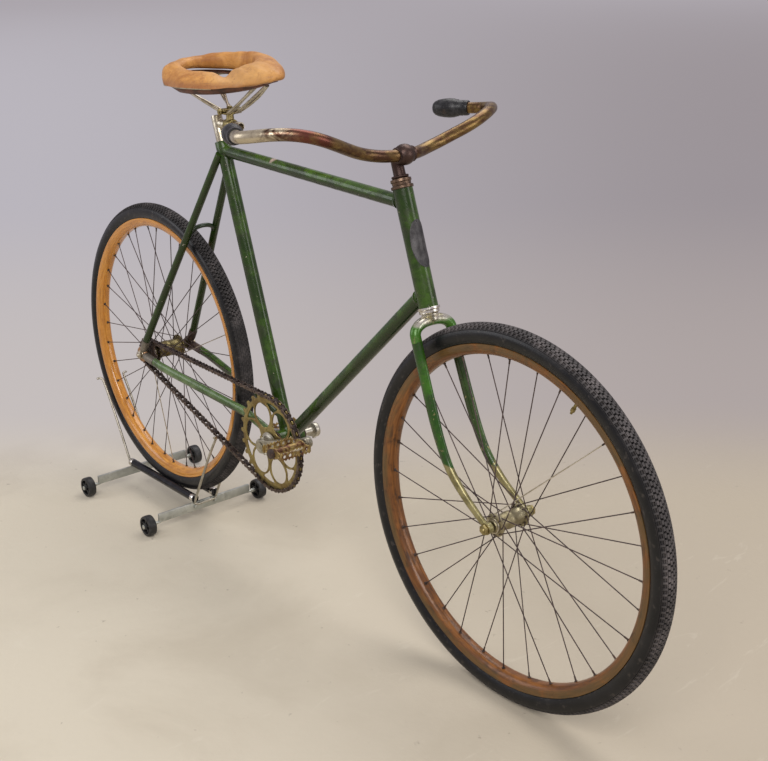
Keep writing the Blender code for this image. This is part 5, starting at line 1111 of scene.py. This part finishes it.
lay(moulded, cloud.among(0.46, 0.72).mix((0.008, 0.008, 0.009), (0.036, 0.035, 0.034)), 0.36 + cloud * 0.2, height=cloud, depth=0.0003)
bar_top, bar_end = 0.0455, 0.1580 - 0.0100 - 0.0180
tube_z, track = 0.0455 + 0.0098 + 0.0003, 0.1580
tube_y = math.sqrt((0.0205 + 0.0098 + 0.0001) ** 2 - (0.0457 + 0.0205 - tube_z) ** 2)
for tag, x_, away in (("rear", -0.1680 - 0.5745, -1), ("front", 0.1320 - 0.5745, 1)):
    bm = bmesh.new()
    brick(bm, (x_ - 0.0030, -bar_end, 0.0235), (x_ + 0.0030, bar_end, bar_top), 0.0008)
    for sign in (-1, 1):
        for y_ in (tube_y, ):
            nut(bm, (x_ + away * 0.0050, sign * y_, 0.0345), (1, 0, 0), 0.0055, 0.0040)
        stick(bm, (x_ - away * 0.0030, sign * 0.0170, 0.0400), (x_ + away * 0.0075, sign * 0.0170, 0.0400), 0.0026, 14)
        nut(bm, (x_ + away * 0.0048, sign * 0.0170, 0.0400), (1, 0, 0), 0.0048, 0.0034)
        hub_c = Vector((x_, sign * track, 0.0248))
        # the bar's end is pinched and drilled for the wheel's bolt
        stick(bm, hub_c - Y * sign * 0.0330, hub_c + Y * sign * 0.0130, 0.0032, 16)
        nut(bm, hub_c + Y * sign * 0.0126, Y, 0.0058, 0.0036)
        nut(bm, hub_c - Y * sign * 0.0136, Y, 0.0056, 0.0040)
        nut(bm, hub_c - Y * sign * 0.0192, Y, 0.0056, 0.0036)
    piece("stand_flat_bar_" + tag, bm, zinc, "frame", "galvanised", "stand_bar_" + tag, crease=30)
    px = x_ + away * (0.0030 + 0.0030 + 0.0003)
    z0 = bar_top - 0.0030 - 0.0015
    lift = 0.2560 - z0
    half = [(px, 0.0, z0), (px, 0.0215, z0), (px, 0.0285, z0 + 0.0025), (px, 0.0305, z0 + 0.0100), (px + away * 0.0360, 0.0305, z0 + lift * 0.36), (px + away * 0.0816, 0.0305, z0 + lift * 0.74),
            (px + away * 0.1116, 0.0305, z0 + lift * 0.96), (px + away * 0.1200, 0.0335, 0.2560), (px + away * 0.1240, 0.0435, 0.2560)]
    half = through(half, 4)
    bm = bmesh.new()
    drawn(bm, [Vector((p.x, -p.y, p.z)) for p in reversed(half)] + half[1:], 0.0030, detail=4)
    piece("stand_wire_" + tag, bm, beige_wire, "frame", "galvanised", "stand_prongs_" + tag)
    for sign, hand in ((-1, "right"), (1, "left")):
        hub_c = Vector((x_, sign * track, 0.0248))
        bm = bmesh.new()
        spun(bm, [(0.0185, -0.0090), (0.0192, -0.0098), (0.0222, -0.0100), (0.0238, -0.0092), (0.0245, -0.0070), (0.0248, -0.0030), (0.0248, 0.0030), (0.0245, 0.0070), (0.0238, 0.0092), (0.0222, 0.0100), (0.0192, 0.0098), (0.0185, 0.0090)],
             hub_c, Y, 48, closed=True)
        spun(bm, [(0.0040, -0.0100), (0.0072, -0.0100), (0.0080, -0.0090), (0.0080, 0.0090), (0.0072, 0.0100), (0.0040, 0.0100)], hub_c, Y, 32, closed=True)
        spun(bm, [(0.0070, -0.0015), (0.0190, -0.0015), (0.0190, 0.0015), (0.0070, 0.0015)], hub_c, Y, 32, closed=True)
        for k in range(5):
            a = 2 * math.pi * k / 5 + 0.3
            ray = Vector((math.cos(a), 0.0, math.sin(a)))
            part = bmesh.new()
            bmesh.ops.create_cube(part, size=1.0)
            bmesh.ops.scale(part, vec=(0.0120, 0.0150, 0.0034), verts=part.verts)
            bmesh.ops.bevel(part, geom=part.edges[:], offset=0.0006, offset_type="OFFSET", segments=2, profile=0.5, affect="EDGES", material=-1)
            put_in(bm, part, Matrix.Translation(hub_c + ray * 0.0130) @ Matrix.Rotation(-a, 4, "Y"))
        piece("stand_roller_%s_%s" % (tag, hand), bm, moulded, "stand_wheel_%s_%s" % (tag, hand), "stand_rubber", "stand_wheel_%s_%s" % (tag, hand), crease=35)
for sign, hand in ((-1, "right"), (1, "left")):
    back_x, front_x = -0.1680 - 0.5745 - 0.0030, 0.1320 - 0.5745 + 0.0030
    bm = bmesh.new()
    spun(bm, [(0.0, 0.0), (0.0088, 0.0), (0.0098, 0.0008), (0.0098, front_x - back_x - 0.0008), (0.0088, front_x - back_x), (0.0, front_x - back_x)], Vector((back_x, sign * tube_y, tube_z)), Vector((1, 0, 0)), 40)
    piece("stand_black_tube_" + hand, bm, black, "frame", "black_tube", "stand_tube_" + hand)
    bm = bmesh.new()
    for x_, way in ((back_x, 1), (front_x, -1)):
        spun(bm, [(0.0097, -0.0006), (0.0101, 0.0), (0.0101, 0.0120), (0.0097, 0.0126)], Vector((x_, sign * tube_y, tube_z)), Vector((way, 0, 0)), 36, closed=True)
    piece("stand_tube_ends_" + hand, bm, pale_nickel, "frame", "nickel")
